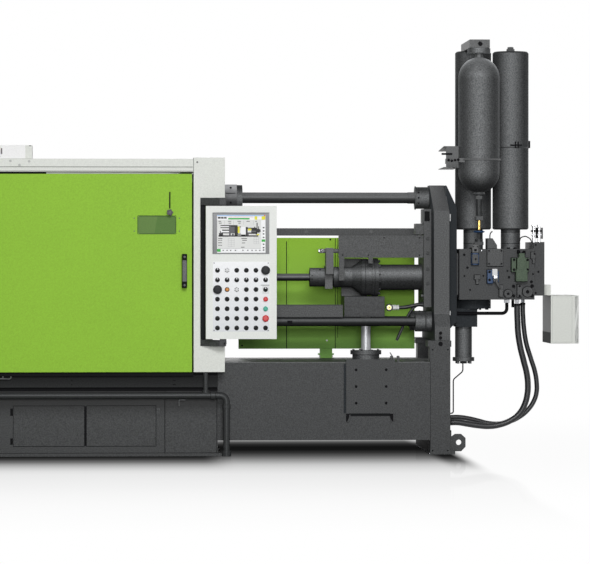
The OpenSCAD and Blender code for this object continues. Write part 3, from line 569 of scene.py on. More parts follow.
# Phosphated steel with painted highlight and shade by height: bright on top, dark below
NUT = by_height("phosphated_steel_painted_shading", (0.40, 0.405, 0.415), (
    (1.505, 0.12), (1.56, 0.2), (1.60, 0.34), (1.62, 0.55), (1.67, 1.7)), 0.1, specular=0.0, roughness=0.45,
    metallic=0.2)
LIFT_ROD = enamel("lift_rod_chrome", (0.60, 0.61, 0.63), 0.03, 0.02, 0.0, 0.3, metallic=0.3)
CHROME = metal("hard_chrome", (0.78, 0.79, 0.81), 0.16, 0.04, (6, 6, 300), 0.0)
ZINC = metal("zinc_plate", (0.6, 0.61, 0.64), 0.24, 0.15, (60, 60, 60), 0.1)
BRASS = metal("brass", (0.72, 0.50, 0.16), 0.28, 0.15, (6, 6, 300))
# Brushed sheet painted lighter towards the top, as painted light
SHEET = by_height("brushed_sheet_painted_light", (0.75, 0.76, 0.79), ((0.77, (0.74, 0.76, 0.79)), (1.19, (0.95, 0.96, 0.98))),
                  0.03, specular=0.3, roughness=0.4, drift=0.01)
# Grey bezel painted lighter towards the top, as painted light
BEZEL = by_height("bezel_grey_painted_light", (0.25, 0.26, 0.27), ((1.235, (0.20, 0.205, 0.21)), (1.484, (0.29, 0.295, 0.305))),
                  0.04, specular=0.3, roughness=0.45)
PLASTIC = enamel("black_plastic", (0.010, 0.010, 0.011), 0.1, specular=0.06, roughness=0.35)
DOME = enamel("mushroom_black", (0.030, 0.031, 0.034), 0.1, specular=0.08, roughness=0.4)
KNOB = enamel("knob_plastic", (0.062, 0.052, 0.066), 0.15, roughness=0.4)
WHITE = enamel("white_plastic", (0.74, 0.75, 0.76), 0.03, specular=0.3, roughness=0.4)
RED, TEAL, AMBER = (enamel(name + "_plastic", color, 0.05, specular=0.3, roughness=0.35) for name, color in
                    (("red", (0.62, 0.035, 0.04)), ("teal", (0.05, 0.42, 0.30)), ("amber", (0.62, 0.22, 0.02))))
RUBBER = enamel("hose_rubber", (0.016, 0.017, 0.019), 0.15, specular=0.35, roughness=0.38)
BLUE = enamel("blue_enamel", (0.012, 0.045, 0.12), 0.2, specular=0.3, roughness=0.4)
SAGE = enamel("sage_enamel", (0.072, 0.105, 0.068), 0.2, 0.2)
PANE = enamel("tinted_pane", (0.118, 0.222, 0.062), 0.04, specular=0.05)
# A lighter tint of the pane for a painted reflection
PANE_REFLECTION = enamel("tinted_pane_painted_reflection", (0.148, 0.256, 0.076), 0.04, specular=0.05)
# Patches of the lit display, under its glass
LCD = {name: enamel("display_" + name, color, 0.0, 0.0, 0.1, 0.3, 0.01) for name, color in (
    ("field", (0.78, 0.79, 0.78)), ("white", (0.95, 0.96, 0.97)), ("title", (0.42, 0.60, 0.86)),
    ("green", (0.03, 0.42, 0.05)), ("yellow", (0.80, 0.74, 0.02)), ("dark", (0.006, 0.006, 0.008)),
    ("grey", (0.10, 0.10, 0.11)), ("pale", (0.36, 0.37, 0.38)), ("red", (0.70, 0.06, 0.05)))}
USUAL_SLOT = {material.name: slot for slot, materials in (
    ("black_paint", (BLACK, SEAM_DARK_AND_SHADE, SHADOW_SLATE)), ("zinc_fitting", (ZINC, BRASS, CHROME, WHITE)),
    ("black_plastic", (PLASTIC, DOME, AMBER, GASKET)), ("light_paint", (LIGHT, HOUSING, BOX_GREY, SEAM)),
    ("green_paint", (GREEN, SHEET_GREEN)), ("blue_paint", (BLUE, SAGE)), ("hose_rubber", (RUBBER,)),
    ("window", (PANE_REFLECTION,)), ("dark_rod", (ROD,)), ("screen", LCD.values())) for material in materials}

# ---------------------------------------------------------------- cords

FRAME_FACE = 1572  # the C-frame's face, which the routes are counted from
# Name, the node it stands for, upright plane, diameter, length in metres, and its route in x and z
CORDS = (
    ("pressure_hose_rubber", "pressure_hose", -170, 38, 1.149, (
        (542, 915), (542, 870), (544, 820), (548, 742), (562, 652), (584, 563), (603, 485), (610, 413), (606, 354),
        (590, 294), (558, 238), (506, 196), (440, 169), (372, 158), (300, 162), (222, 174), (170, 182), (128, 182))),
    ("return_hose_rubber", "return_hose", -122, 30, 1.205, (
        (583, 920), (583, 880), (585, 840), (590, 772), (605, 676), (634, 580), (660, 497), (671, 425), (670, 366),
        (654, 314), (616, 258), (560, 212), (496, 183), (430, 170), (364, 174), (300, 190), (240, 204), (180, 212),
        (128, 212))),
    ("sensor_cable_rubber", "sensor_cable", -150, 24, 0.155, (
        (-200, 901), (-172, 901), (-142, 905), (-110, 912), (-77, 918), (-47, 918))))


def add_cords():
    """Rubber hoses from the manifold to the shot base, and the sensor's cable, each on one smooth curve."""
    for name, node, y, diameter, length, route in CORDS:
        deselect()
        bpy.ops.curve.primitive_bezier_curve_add()
        piece = named(bpy.context.active_object, name)
        piece.location = (0, 0, 0)
        line = piece.data
        line.splines.clear()
        spline = line.splines.new("BEZIER")
        spline.bezier_points.add(len(route) - 1)
        places = [Vector((FRAME_FACE + x, y, z)) * MM for x, z in route]
        for point, place in zip(spline.bezier_points, places):
            point.co = place
            point.handle_left_type = point.handle_right_type = "AUTO"
        spline.resolution_u = 8
        line.bevel_depth = diameter / 2 * MM
        line.bevel_resolution = 5
        line.use_fill_caps = True
        line.materials.append(RUBBER)
        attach(piece, "machine")
        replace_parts(piece, node)
        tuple(places[0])


# ---------------------------------------------------------------- clamp base


def add_clamp_base():
    base = softened("clamp_base", DARK, 2.5)
    # Painted shade: the tank's front darkens upwards under the pipe, the channel under the doors is painted in deep
    # shade, and the groove and the rail under the doors are painted black where they lie in shade
    paint(base, TANK, lambda c, n: c.z < 398 and n.y < -0.5)
    paint(base, CHANNEL, lambda c, n: 421 < c.z < 490 and c.y < -560)
    paint(base, BLACK, lambda c, n: c.y < -560 and (393 < c.z < 421 or c.z > 491))
    proud, low, high = (-602, -599.5), 64, 308
    add("hatch_outlines", [blocks(0, (x0 - 3, x0, *proud, low, high), (x1, x1 + 3, *proud, low, high),
                                  (x0 - 3, x1 + 3, *proud, high, high + 3), (x0 - 3, x1 + 3, *proud, low - 3, low))
                           for x0, x1 in ((-1018, -588), (-573, -152))]
        + blocks(0, (-588, -573, -601.5, -599, 66, 306)), BLACK)
    # The hatches carry the same painted shade as the tank's front
    soften(("left_hatch", TANK, 1.0), ("right_hatch", TANK, 1.0))
    # Hinges: a leaf on the base beside each pin
    leaves = ((250, 294), (74, 112))
    add("left_hinge_leaves", blocks(0.8, *[(-1037, -1022, -603.5, -599, *z) for z in leaves]), BLACK)
    add("right_hinge_leaves", [blocks(0.8, (-147, -127, -603, -599, *z))
                               + screws(grid((-137,), -603, (z[0] + 11, z[1] - 11)), 7, 4.2)
                               for z in leaves], DARK)
    # Seams, the groove above the tank, and the weld line along the foot
    add("base_seams", blocks(0, (-97.6, -95, -602, -599, 20, 398), (219, 222, -592, -589, 20, 398),
                             (-2450, 226, -571.5, -569, 399.5, 420.5), (-2448, 224, -601.4, -599.5, 20, 22),
                             *[(x - w, x + w, -601, -599, z - 3, z + 3) for x, w in ((-664, 4), (-40, 9))
                               for z in (463, 438)]), BLACK)
    # The drain cock's bent handle, and the end of a stay that shows under the left door
    add("drain_cock", [pipe([(-10, -601, 344), (-10, -608, 344), (-10, -610, 306)], 6),
                       pipe([(-10, -608, 344), (29, -608, 344)], 6)], GREY, slot="zinc_fitting")
    add("door_stay", [pipe([(-1110, -618, 494), (-1110, -618, 476), (-1036, -618, 474), (-1030, -618, 494)], 8),
                      blocks(1, (-1084, -1078, -622, -612, 474, 494))], GREY)
    pipes = softened("pipework", PIPE, 1.0)
    paint(pipes, BLACK, lambda c, n: 820 < c.z < 960 and c.x > 1720 and -220 < c.y < -120)
    couplings = [turned((x - 16, -620.3, 372), RIGHT, [(0, 22), (2, 25), (30, 25), (32, 22)], 36)
                 for x in (-2050, -1250, 196)]
    couplings += [turned((279, -620.3, 318), DOWN, [(0, 22), (2, 24.5), (26, 24.5), (28, 22)], 36)]
    couplings += blocks(1.5, (-2263, -2237, -642.5, -598, 344, 348))
    couplings += screws([(-2250, -620, 344)], 9, 5.4, DOWN)
    add("pipe_couplings", couplings, PIPE)


# ---------------------------------------------------------------- guard

GUARD_FACE = -650
PANE_X, PANE_Z = (-262, -30), (1357, 1467)
RAIL = (-2448, 73)  # from end to end of the beam over the doors


def add_guard():
    door = softened("front_door", GREEN, 2.0)
    paint(door, PLASTIC, lambda c, n: c.y < -650.5)
    soften(("rear_door", GREEN, 2.0), ("fixed_guards", GREEN, 1.5), ("guard_columns", LIGHT, 2.5),
           ("roof_frame", LIGHT, 2.5), ("door_window", PANE, 0.5))
    # Window: a pane in a black rubber gasket, with a painted reflection: a lighter patch over its left part
    (left, right), (low, high) = PANE_X, PANE_Z
    add("pane_reflection", prism([(left + 3, low + 3), (-160, low + 3), (-142, high - 3), (left + 3, high - 3)],
                                 (-644.6, -643.8), 0), PANE_REFLECTION, DOOR)
    gasket = blocks(0.5, *[(*x, -651, -643, *z) for x, z in (
        ((left - 1, right + 1), (high - 1, high + 2)), ((left - 1, right + 1), (low - 2, low + 1)),
        ((left - 2, left + 1), PANE_Z), ((right - 1, right + 2), PANE_Z))])
    corners = [prism([(x, z), (x + 12 * sx, z), (x + 3.5 * sx, z + 3.5 * sz), (x, z + 12 * sz)], (-650.6, -643), 0)
               for x, sx in ((left, 1), (right, -1)) for z, sz in ((low, 1), (high, -1))]
    add("window_corners", corners, GREEN, DOOR)
    add("window_gasket", gasket, GASKET, DOOR)
    add("window_screws", screws(grid((-283, -9), GUARD_FACE, (1374, 1453)), 7, 1.5), GREY, "front_door",
        "zinc_fitting")
    # Door furniture
    softened("door_handle", BLACK, 4.0, 3)
    add("handle_screws", screws(grid((21.7,), -708, (1045, 1217)), 14, 3), GREY, DOOR, "zinc_fitting")
    add("handle_grip", block((8, 35.5), (-711, -700), (1066, 1197), 4, 3), GREY, DOOR, "black_plastic")
    softened("star_knob", KNOB, 3.0, 3)
    add("knob_insert", turned((-67, -692, 1488), FRONT, [(-1, 7), (1.4, 7), (1.4, 4), (0.4, 3.6)], 24), GREY,
        "star_knob", "zinc_fitting")
    add("door_seal", blocks(1, (70, 77.5, -638, -606, 517, 1722)), BLACK, slot="black_plastic")
    # Rails over the doors
    add("door_rail_cover", blocks(0.8, (-2448, -817, -653, -647, 1722, 1731))
        + blocks(0.5, (*RAIL, -651, -646.5, 1730.5, 1733.5)), BLACK)
    add("beam_seams", blocks(0, (*RAIL, -650.8, -649.5, 1763, 1765.4), (*RAIL, -650.8, -649.5, 1739, 1740.6),
                             (76, 79, -651, -649.5, 1735, 1820), (-1250, -1247.5, -650.8, -649.5, 1734, 1812)), SEAM)
    add("beam_screws", bolts([(-1034, GUARD_FACE, 1800), (-979, GUARD_FACE, 1775), (-921, GUARD_FACE, 1798)],
                                 12, 4), BOX_GREY)
    add("column_screw", screws([(100, GUARD_FACE, 1794)], 11, 2), GREY)
    # Switch box on the roof
    box = softened("roof_box", HOUSING, 3.0)
    paint(box, ROOF_WHITE, lambda c, n: n.y < -0.5)
    add("roof_box_side", blocks(0.5, (-944, -903, -643.4, -641.5, 1815, 1895)), LIGHT)
    add("roof_box_fittings", [blocks(1, (-1100.5, -1097, -643, -612, 1826, 1868)),
                              rod((-922, -640, 1892), RIGHT, 14, 8),
                              blocks(0.5, (-1092, -1084, -644, -641, 1842, 1878))], GREY)


# ---------------------------------------------------------------- operator panel

PITCH = 58.3
FIRST = (219.7, 1136)  # the top left control
PLATE_FACE = -763
DISPLAY_LEFT, SQUEEZE = 217, 0.9866  # the patches are drawn a little too wide, from the left edge
GLASS, LAYER = -764.5, 0.4  # the lowest patches' face, and how much each level stands over the last
# Name, colour, level over the glass, and the flat patches: spans of x and z
DISPLAY = (
    ("field", "field", 0, ((217, 515, 1241.5, 1471.5),)),
    ("title_bar", "title", 1, ((217, 504, 1463.5, 1471),)),
    ("white", "white", 1, ((217, 447, 1441, 1463), (464, 490, 1444, 1463), (217, 515, 1242.5, 1267),
                           (488, 515, 1268, 1440), (363, 392, 1356, 1398), (240, 288, 1398.5, 1405),
                           (240, 290, 1361, 1382))),
    ("green", "green", 2, ((286, 417, 1444, 1453), (491, 513, 1309, 1323), (217, 239, 1248, 1265))),
    ("yellow", "yellow", 3, ((448.5, 463.5, 1443, 1463.5), (491, 513, 1443, 1463.5), (344.5, 356, 1362, 1402.6),
                             (407, 427, 1377, 1388.6), (461, 476, 1349, 1356))),
    ("red", "red", 2, ((504, 513.5, 1464.5, 1471), (288, 440, 1458, 1459.5))),
    ("marks", "dark", 2, (
        (226, 470, 1340, 1348), (229, 254, 1346, 1362), (238, 291, 1404, 1410), (238, 291, 1392, 1397),
        (248, 291, 1375, 1382), (244, 291, 1360, 1366), (325, 343, 1346.5, 1410), (291, 325, 1400, 1410),
        (291, 302, 1347, 1376), (394, 405, 1346.5, 1398), (404, 458, 1388, 1394), (404, 460, 1357, 1365),
        (455, 464, 1352, 1392), (464, 478, 1364, 1388), (460, 466, 1390, 1424), (428, 456, 1376, 1389),
        (341, 363, 1396, 1402), (341, 363, 1352, 1358), (470, 475, 1388, 1402), (343, 346, 1358, 1400),
        *[(x, x + w, 1449, 1459) for x, w in ((222, 17), (242, 15), (260, 16))],
        (236, 241, 1362, 1374), (228, 291, 1340, 1343), (303, 325, 1396, 1400), (303, 307, 1360, 1396),
        (313, 317, 1362, 1394), (427, 455, 1362, 1366), (446, 452, 1388, 1400), (478, 484, 1368, 1384),
        (364, 392, 1340, 1352),
        *[(498, 508, z, z + 7) for z in (1391, 1371, 1353, 1332, 1290, 1270, 1255)],
        *[(x, x + 8, 1254, 1260) for x in (251, 275, 297, 326, 372, 402, 428, 452, 476)],
        *[(x, x + w, z, z + 3.6) for x, w, z in (
            (224, 26, 1327), (224, 10, 1316), (237, 11, 1316), (224, 22, 1301), (224, 10, 1286), (238, 9, 1286),
            (367, 34, 1327), (372, 28, 1316), (370, 20, 1300), (364, 22, 1274), (226, 16, 1431), (284, 20, 1431),
            (342, 22, 1431), (398, 20, 1431), (228, 18, 1420), (288, 16, 1420), (348, 14, 1420), (452, 10, 1431))])),
    ("machine", "grey", 3, ((290.5, 302, 1342, 1411), (302, 325, 1360, 1400), (308, 320, 1346, 1358),
                            (427, 455, 1366, 1376), (404, 412, 1347, 1361))),
    ("tables", "pale", 2, (
        *[tile for x0, x1, z0, z1, rows in ((285, 322, 1278, 1327, 4), (443, 473, 1296, 1336, 3))
          for tile in [(x0, x1, z0 + i * (z1 - z0) / rows, z0 + i * (z1 - z0) / rows + 1) for i in range(rows + 1)]
          + [(x, x + 1, z0, z1) for x in (x0, x1, (x0 + x1) / 2)]],
        *[(x, x + 1, 1412, 1437) for x in (262, 318, 380, 440)], (222, 485, 1267.5, 1269))))


def control_place(column, row):
    return (FIRST[0] + column * PITCH, PLATE_FACE, FIRST[1] - row * PITCH)


def add_display():
    """A plain control picture: bars, tables and a small side view of a machine, all simple shapes."""
    for name, color, level, patches in DISPLAY:
        add("display_" + name, blocks(0, *[
            (*[DISPLAY_LEFT + (v - DISPLAY_LEFT) * SQUEEZE for v in patch[:2]], GLASS - LAYER * level, -763.4,
             *patch[2:]) for patch in patches]), LCD[color], PANEL)
    add("display_rim", blocks(0.5, (190.5, 193, -768, PLATE_FACE, 1234, 1485.5),
                              (190.5, 535, -768, PLATE_FACE, 1482.5, 1485.5)), PLASTIC, PANEL)


def add_controls():
    """Every place has a collar on the plate, and a cap of its own kind."""
    collars, domes, whites, ambers = [], [], [], []
    for column, row in [(column, row) for row in range(7) for column in range(6)]:
        place = x, _, z = control_place(column, row)
        if column == 5 and 3 <= row <= 5:
            continue  # the stop, start and emergency buttons have nodes of their own
        if (column, row) in ((5, 0), (0, 2)):
            collars.append(turned(place, FRONT, [(0, 15), (11, 15), (12, 14)], 28))
            domes.append(turned(place, FRONT, [(11, 17), (13, 25.5), (19, 27), (23, 24.5), (25.4, 17), (26, 8)], 40))
            continue
        rim = turned(place, FRONT, [(0, 14.5), (3, 14.5), (4.5, 13.5), (4.5, 11), (3, 10.6)], 28)
        if (column, row) in ((1, 0), (2, 2)):
            whites += [turned(place, FRONT, [(2, 10.4), (9, 10.4), (11, 9), (12, 5)], 28), rim]
            collars += blocks(0.6, *[(x + dx - 2, x + dx + 2, -768.4, -766, z + dz - 2, z + dz + 2)
                                     for dx, dz in around(12.6, 30, 390, 60)])
            continue
        cap = turned(place, FRONT, [(2, 10.8), (11, 10.8), (13.4, 9.4), (15, 5.5)], 28)
        collars.append(rim)
        (ambers if (column, row) == (1, 2) else collars).append(cap)
        if row == 1 or (column, row) in ((0, 0), (5, 2)):
            collars += blocks(1.0, (x - 4, x + 4, -780, -774, z - 10, z + 10))
            whites.append(prism([(x - 4.4, z + 4), (x + 4.4, z + 4), (x + 1, z + 14), (x - 1, z + 14)],
                                (-780.6, -776.0), 0.2))
    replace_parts(add("control_collars", collars, PLASTIC, PANEL), "push_buttons")
    add("mushroom_caps", domes, DOME, PANEL)
    add("white_controls", whites, WHITE, PANEL, "black_plastic")
    add("amber_control", ambers, AMBER, PANEL)
    add("key_switch_plate", blocks(1.0, (492, 533, -764.2, PLATE_FACE, 992, 1044)), WHITE, PANEL,
        "brushed_plate")
    add("key_switch_line", blocks(0.3, (482, 534, -764.8, PLATE_FACE, 1044.5, 1047.5)), GREY, PANEL,
        "black_plastic")
    for node, material, row, r, travel in (("stop_button", RED, 3, 14.5, 4), ("start_button", TEAL, 4, 14.5, 4),
                                           ("emergency_stop", RED, 5, 20, 6)):
        place = control_place(5, row)
        cap = turned(place, FRONT, [(travel + 0.3, r - 1.5), (travel + 2, r), (travel + 8, r),
                                    (travel + 11.6, r - 3.5), (travel + 13, r - 8)], 40)
        stem = turned(place, FRONT, [(travel + 1, 8), (-13, 8)], 24)
        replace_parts(add(node + "_finished", [cap, stem], material, node, SLOT[node]), node)
    add("panel_screws", screws(grid((199, 527), PLATE_FACE, (772, 1180)), 7, 2), GREY, PANEL,
        "zinc_fitting")


def add_panel():
    softened("panel_housing", HOUSING, 3.0, 3)
    bracket = softened("panel_bracket", DARK, 3.0)
    # Painted shade: the bracket's column is painted near black
    paint(bracket, SEAM_DARK_AND_SHADE, lambda c, n: c.x < 160 or (c.z > 1560 and c.x < 145))
    # The screen's bezel and the button plate carry painted light: lighter towards the top
    soften(("panel_screen", BEZEL, 0.6), ("button_plate", SHEET, 0.8))
    add_display()
    add_controls()
    # Bracket: a knob that locks the swing, screws in its column, and the cables down through the column
    add("swing_lock_knob", [turned((255, -725, 712), DOWN, [(0, 13), (3, 21), (24, 21), (27, 17)]),
                            rod((262, -764, 694), FRONT, 10, 10)], PLASTIC)
    add("bracket_band", blocks(1.0, (150, 234, -651, -645, 1540, 1560)), GREY)
    # Painted shadow: dark strips along the top of the bracket's arm and at its end
    add("bracket_shadow_gap", blocks(0.8, (119, 274, -651, -645, 1562, 1577))
        + blocks(1.0, (238, 270, -652, -645, 1534, 1560)), SEAM_DARK_AND_SHADE)
    add("bracket_screws", screws(grid((141,), GUARD_FACE, (700, 1562)), 12, 4), PLASTIC)
    add("panel_cables", [pipe([(196, -600, 1530), (198, -602, 1300), (194, -598, 1000), (197, -600, 718)], 16),
                         pipe([(218, -585, 1530), (214, -588, 1250), (219, -583, 950), (215, -586, 718)], 12)], RUBBER)
    add("panel_back_cover", blocks(3, (290, 545, -691, -687, 760, 1490)), LIGHT, PANEL)


# ---------------------------------------------------------------- platens and clamp

UPPER_BAR = 1588  # height of the upper tie bars and of the rods in line with them


def add_clamp():
    soften(("moving_platen", DARK, 3.0), ("fixed_platen", DARK, 3.0), ("clamp_ram", STEEL, 1.5),
           ("tie_bars", STEEL, 1.5), ("ejector_cylinders", ROUND, 1.5), ("ejector_plate", DARK, 1.5),
           ("shot_sleeve", STEEL, 1.5))
    # Tie bar nuts: split nuts painted bright on top and dark below as painted light and shade, behind a dark flange,
    # with their clamping screws
    nuts = softened("bar_nuts", ROUND, 2.0)
    paint(nuts, NUT, lambda c, n: c.x < 350 and c.z > 1400)
    add("nut_seams", [turned((351, 0, UPPER_BAR), RIGHT, [(0, 82), (13, 82)], 48),
                      blocks(0, (201, 352, -84.5, -70, 1613.5, 1616.5)),
                      screws(grid((324,), -74, (1650, 1557)), 13, 12)], BLACK)


# ---------------------------------------------------------------- shot unit

SHOT_AXIS = 1089  # height of the plunger and its cylinder


def add_shot_unit():
    base = softened("shot_base", DARK, 3.0)
    # Painted shade: the low faces turned left, by the post, are painted black
    paint(base, BLACK, lambda c, n: n.x < -0.5 and c.z < 95 and c.x > 1530)
    plate = softened("mounting_plate", DARK, 2.5)
    # Black below 251 mm: the plate's legs, and painted shade along its underside
    paint(plate, BLACK, lambda c, n: c.z < 251)
    c_frame = softened("c_frame", FRAME, 4.0)
    # Painted light and shade: a lit copy on faces that tilt up towards the light, and painted shade on faces turned
    # left and on the rear part
    paint(c_frame, FRAME_HIGHLIGHT, lambda c, n: n.y < -0.3 and (c.z > 1490 or 845 < c.z < 965))
    paint(c_frame, SHADOW_SLATE, lambda c, n: n.x < -0.6 or c.x > 1672)
    plate = softened("cylinder_plate", MID, 2.0)
    # Painted shade on the faces turned to the right
    paint(plate, SEAM_DARK_AND_SHADE, lambda c, n: n.x > 0.6)
    support = softened("support_block", DARK, 2.0)
    # Painted light on the back cheek's front, which stands in shade
    paint(support, GREY, lambda c, n: c.y > 100 and n.y < -0.5)
    soften(("cable_tray", MID, 1.0), ("upper_rail", MID, 2.0), ("sensor_cover", MID, 1.5),
           ("rear_panel", SHEET_GREEN, 1.0), ("shot_cylinder", BARREL, 1.5))
    lift = softened("lift_cylinder", ROUND, 1.5)
    paint(lift, LIFT_ROD, lambda c, n: c.z > 631)
    softened("clamp_cylinder", ROUND, 2.0)
    rods = softened("frame_rods", ROD, 1.5)
    # The lower rods take their own painted highlight and shade
    paint(rods, LOWER_ROD, lambda c, n: c.z < 1000)
    soften(("plunger_rod", PLUNGER, 1.0), ("rod_coupling", BARREL, 1.5), ("sensor_arm", GREY, 1.5))
    # Shot base: the screws and legs of its mounting plate, a seam, painted shadow under and beside the plate, a
    # painted highlight along its top edge, and the foot with a painted highlight on its edge
    add("mounting_screws", screws(grid((1080, 1265), -507, (523, 420, 318)), 17, 3), BLACK)
    # A seam at the post, and a painted shadow under the mounting plate
    add("shot_base_seam_and_painted_shadow", blocks(0, (1538.5, 1540.5, -497, -494, 27, 572), (1038, 1290, -508.2, -494, 249, 255),
                                  (1038, 1290, -500, -494, 238, 252)), SEAM_DARK_AND_SHADE)
    add("plate_legs", [prism(outline, (-508.5, -494), 1) for outline in (
        ((1019, 253), (1041, 253), (1035, 224), (1025, 206), (1019, 206)),
        ((1286, 253), (1309, 253), (1309, 206), (1302, 206), (1292, 224)))], BLACK)
    # Painted shadow to the left of the mounting plate
    add("base_shade", blocks(0, (1004, 1019, -496, -494, 256, 560)), SHADOW_SLATE)
    # Painted highlight: a lighter strip along the base's top front edge
    add("base_top_edge_highlight", blocks(1, (252, 1015, -496.4, -490, 566, 571), (1336, 1534, -496.4, -490, 566, 571)), EDGE_HIGHLIGHT,
        slot="dark_paint")
    # Painted highlight: a bright zinc strip along the foot's lit edge
    add("foot_edge_highlight", blocks(1, (1534, 1538, -494, 480, 0.5, 9)), ZINC)
    add("foot_bolts", [bolts([(x, y, z) for y in (-400, 400)], 30, 13, UP) for x, z in ((1678, 26), (-2490, 18))],
        BLACK)
    add("post_screws", screws(grid((1553, 1647), -495, (646, 24)), 9, 3), BLACK)
    # Ports in the clamp blocks over the post
    add("frame_ports", [port((1602, -495, z), FRONT, r, 1.2, r * 0.7, 0.4, r * 0.66, 24)
                        for z, r in ((748, 10), (718, 10), (681, 14))], BLACK)
    # C-frame and its rods
    # Painted shade: a black patch in the notch on the lower rod
    add("rod_notch", blocks(0.5, (671, 702, -219.5, -214, 801, 820)), BLACK)
    # Painted shade: a black plate in the bracket's opening
    add("bracket_opening", blocks(3, (1530, 1562, -201.5, -199, 1440, 1500)), BLACK)
    add("rod_steps", turned((1440, 0, UPPER_BAR), RIGHT, [(0, 34.5), (1, 36), (50, 36), (51, 34.5)], 40), ROD)
    add("collar_screws", screws([(1505, -60 - 0.24 * (32 - abs(s)), UPPER_BAR + s) for s in (-32, 32)]
                                       + [(1505, -68, UPPER_BAR)], 12, 2), BLACK)
    add("boss_bands", [turned((1471, y, 813), RIGHT, [(58, 62.4), (59, 64), (66, 64), (67, 62.4)], 40)
                       for y in (-190, 190)], DARK)
    add("plate_screws_pale", screws([(x, -200, z) for x, z in ((1538, 1384), (1552, 1390), (1538, 966))], 8, 2),
        GREY, slot="zinc_fitting")
    add("plate_screws_dark", bolts(grid((1549,), -200, (1330, 1240, 1140, 1050)), 18, 7), DARK)
    # Barrel: flange bolts, and the grooves between the parts of the cylinder
    ring = [(1252, y, SHOT_AXIS + z) for y, z in around(102, 15, 375, 30)]
    add("flange_bolts_pale", screws(ring[::2], 18, 9, RIGHT), ZINC)
    add("flange_bolts_dark", screws(ring[1::2], 18, 9, RIGHT), BLACK)
    add("barrel_grooves", [turned((x, 0, SHOT_AXIS), RIGHT, [(0, r), (w, r)], 56) for x, w, r in
                           ((1167, 2.4, 113.4), (1226, 2.4, 119.8), (965.5, 2.0, 55.5))], BLACK)
    add("coupling_marks", screws([(885, -50, 1136), (836, -57, 1100), (836, -57, 1078)], 9, 2), BLACK,
        "plunger")
    # Position sensor: its bright nut and its cover's screws
    add("sensor_nut", turned((870, -140, 1254), RIGHT, [(0, 11), (2, 13.5), (11, 13.5), (12, 10), (16, 10),
                                                        (17, 13.5), (34, 13.5), (36, 11)], 6), STEEL, "plunger")
    add("cover_screws", screws([(x, -178, z) for x, z in ((1019, 1228), (1180, 1228), (1278, 1336),
                                                                 (1500, 1336), (1500, 1228))], 9, 2), BLACK)
    # Rigid pipes on the side of the unit
    add("side_pipes", pipe([(1538, -148, 930), (1500, -146, 920), (1470, -146, 905), (1436, -144, 860),
                            (1404, -142, 792), (1360, -142, 695)], 18), RUBBER)
    add("side_fittings", [rod((1486, -192, 1364), RIGHT, 12, 14), rod((1508, -190, 1364), RIGHT, 10, 18),
                          rod((1508, -190, 975), RIGHT, 16, 16, 2),
                          rod((1534, -148, 924), (1, 0.0, 0.15), 14, 24, 2)], GREY, slot="zinc_fitting")
    # Painted light: bright strips in the slits beside the frame's front part, for the light that shows through them
    add("frame_slits_painted_light", blocks(0.5, *[(1687, 1693, -202, -199, *z) for z in ((1440, 1485), (853, 880))]), WHITE)
    # Sensor cable connector
    plug = (1311, -168, 901)
    add("connector_ring", [turned(plug, FRONT, [(-9, 23), (4, 23), (5, 22), (5, 17), (1, 16)], 40),
                           turned((1311, -170, 901), FRONT, [(0, 4.5), (6.6, 4.5)], 20)], PLASTIC)
    add("connector_washer", turned(plug, FRONT, [(0, 17.5), (4, 17.5), (5, 16.5)], 40), WHITE)
    add("connector_core", turned(plug, FRONT, [(0, 12.5), (5, 12.5), (6, 11)]), BRASS)
    add("connector_nut", turned((1331, -150, 901), RIGHT, [(0, 14), (2, 16), (24, 16), (26, 13), (30, 13), (32, 16),
                                                           (42, 16)], 6), WHITE)
    # Cover panel behind the unit
    add("rear_panel_seams", blocks(0, (694, 699, 378.4, 381, 630, 1316), (1007, 1011, 378.4, 381, 630, 1338),
                                   (1023, 1026, 378.4, 381, 700, 1338)), SEAM_DARK_AND_SHADE, slot="green_paint")
    add("rear_panel_foot", blocks(1.5, (898, 1000, 376, 396, 590, 600)), SHEET_GREEN)
    add("rear_panel_fold", blocks(1.2, (708, 724, 376.5, 381, 632, 1337)), SHEET_GREEN)
    add("rear_panel_screws", screws([(x, 380, z) for x, z in ((977, 1328), (412, 650), (1496, 1320))], 12, 2.5),
        BLACK)
    add("rear_panel_rivet", screws([(955, 380, 682)], 12, 3), WHITE)
    add("rail_bolts", bolts(grid((1235, 420, 820), 340, (1376,)), 20, 8), GREY)
    add("rear_panel_foot_pad", blocks(2, (905, 994, 377, 393, 571, 590)), WHITE, slot="light_paint")
    add("taps", [turned((x, -380, 569), UP, [(0, 9), (8, 9), (9, 7), (16, 7), (17, r), (34, r), (36, r - 2)], 28)
                 for x, r in ((1309, 10), (1349, 9))] + [rod((1312, -380, 604), (-0.5, 0, 0.8), 26, 6)], GREY,
        slot="zinc_fitting")
    add("lift_cylinder_screws", screws([(1177 + x, y, 630) for x, y in around(84, 22, 382, 45)], 12, 6, UP),
        BLACK)
    add("tray_lip", blocks(0.5, (272, 1014, -241.5, -239, 914, 919), (272, 1014, -241.5, -239, 841, 846)), DARK)


# ---------------------------------------------------------------- valve manifold

FACE = -280  # the manifold's front face
BACK = FACE + 1  # how far what is bolted to the face reaches into it
UNDERSIDE = 951  # the manifold's lower face


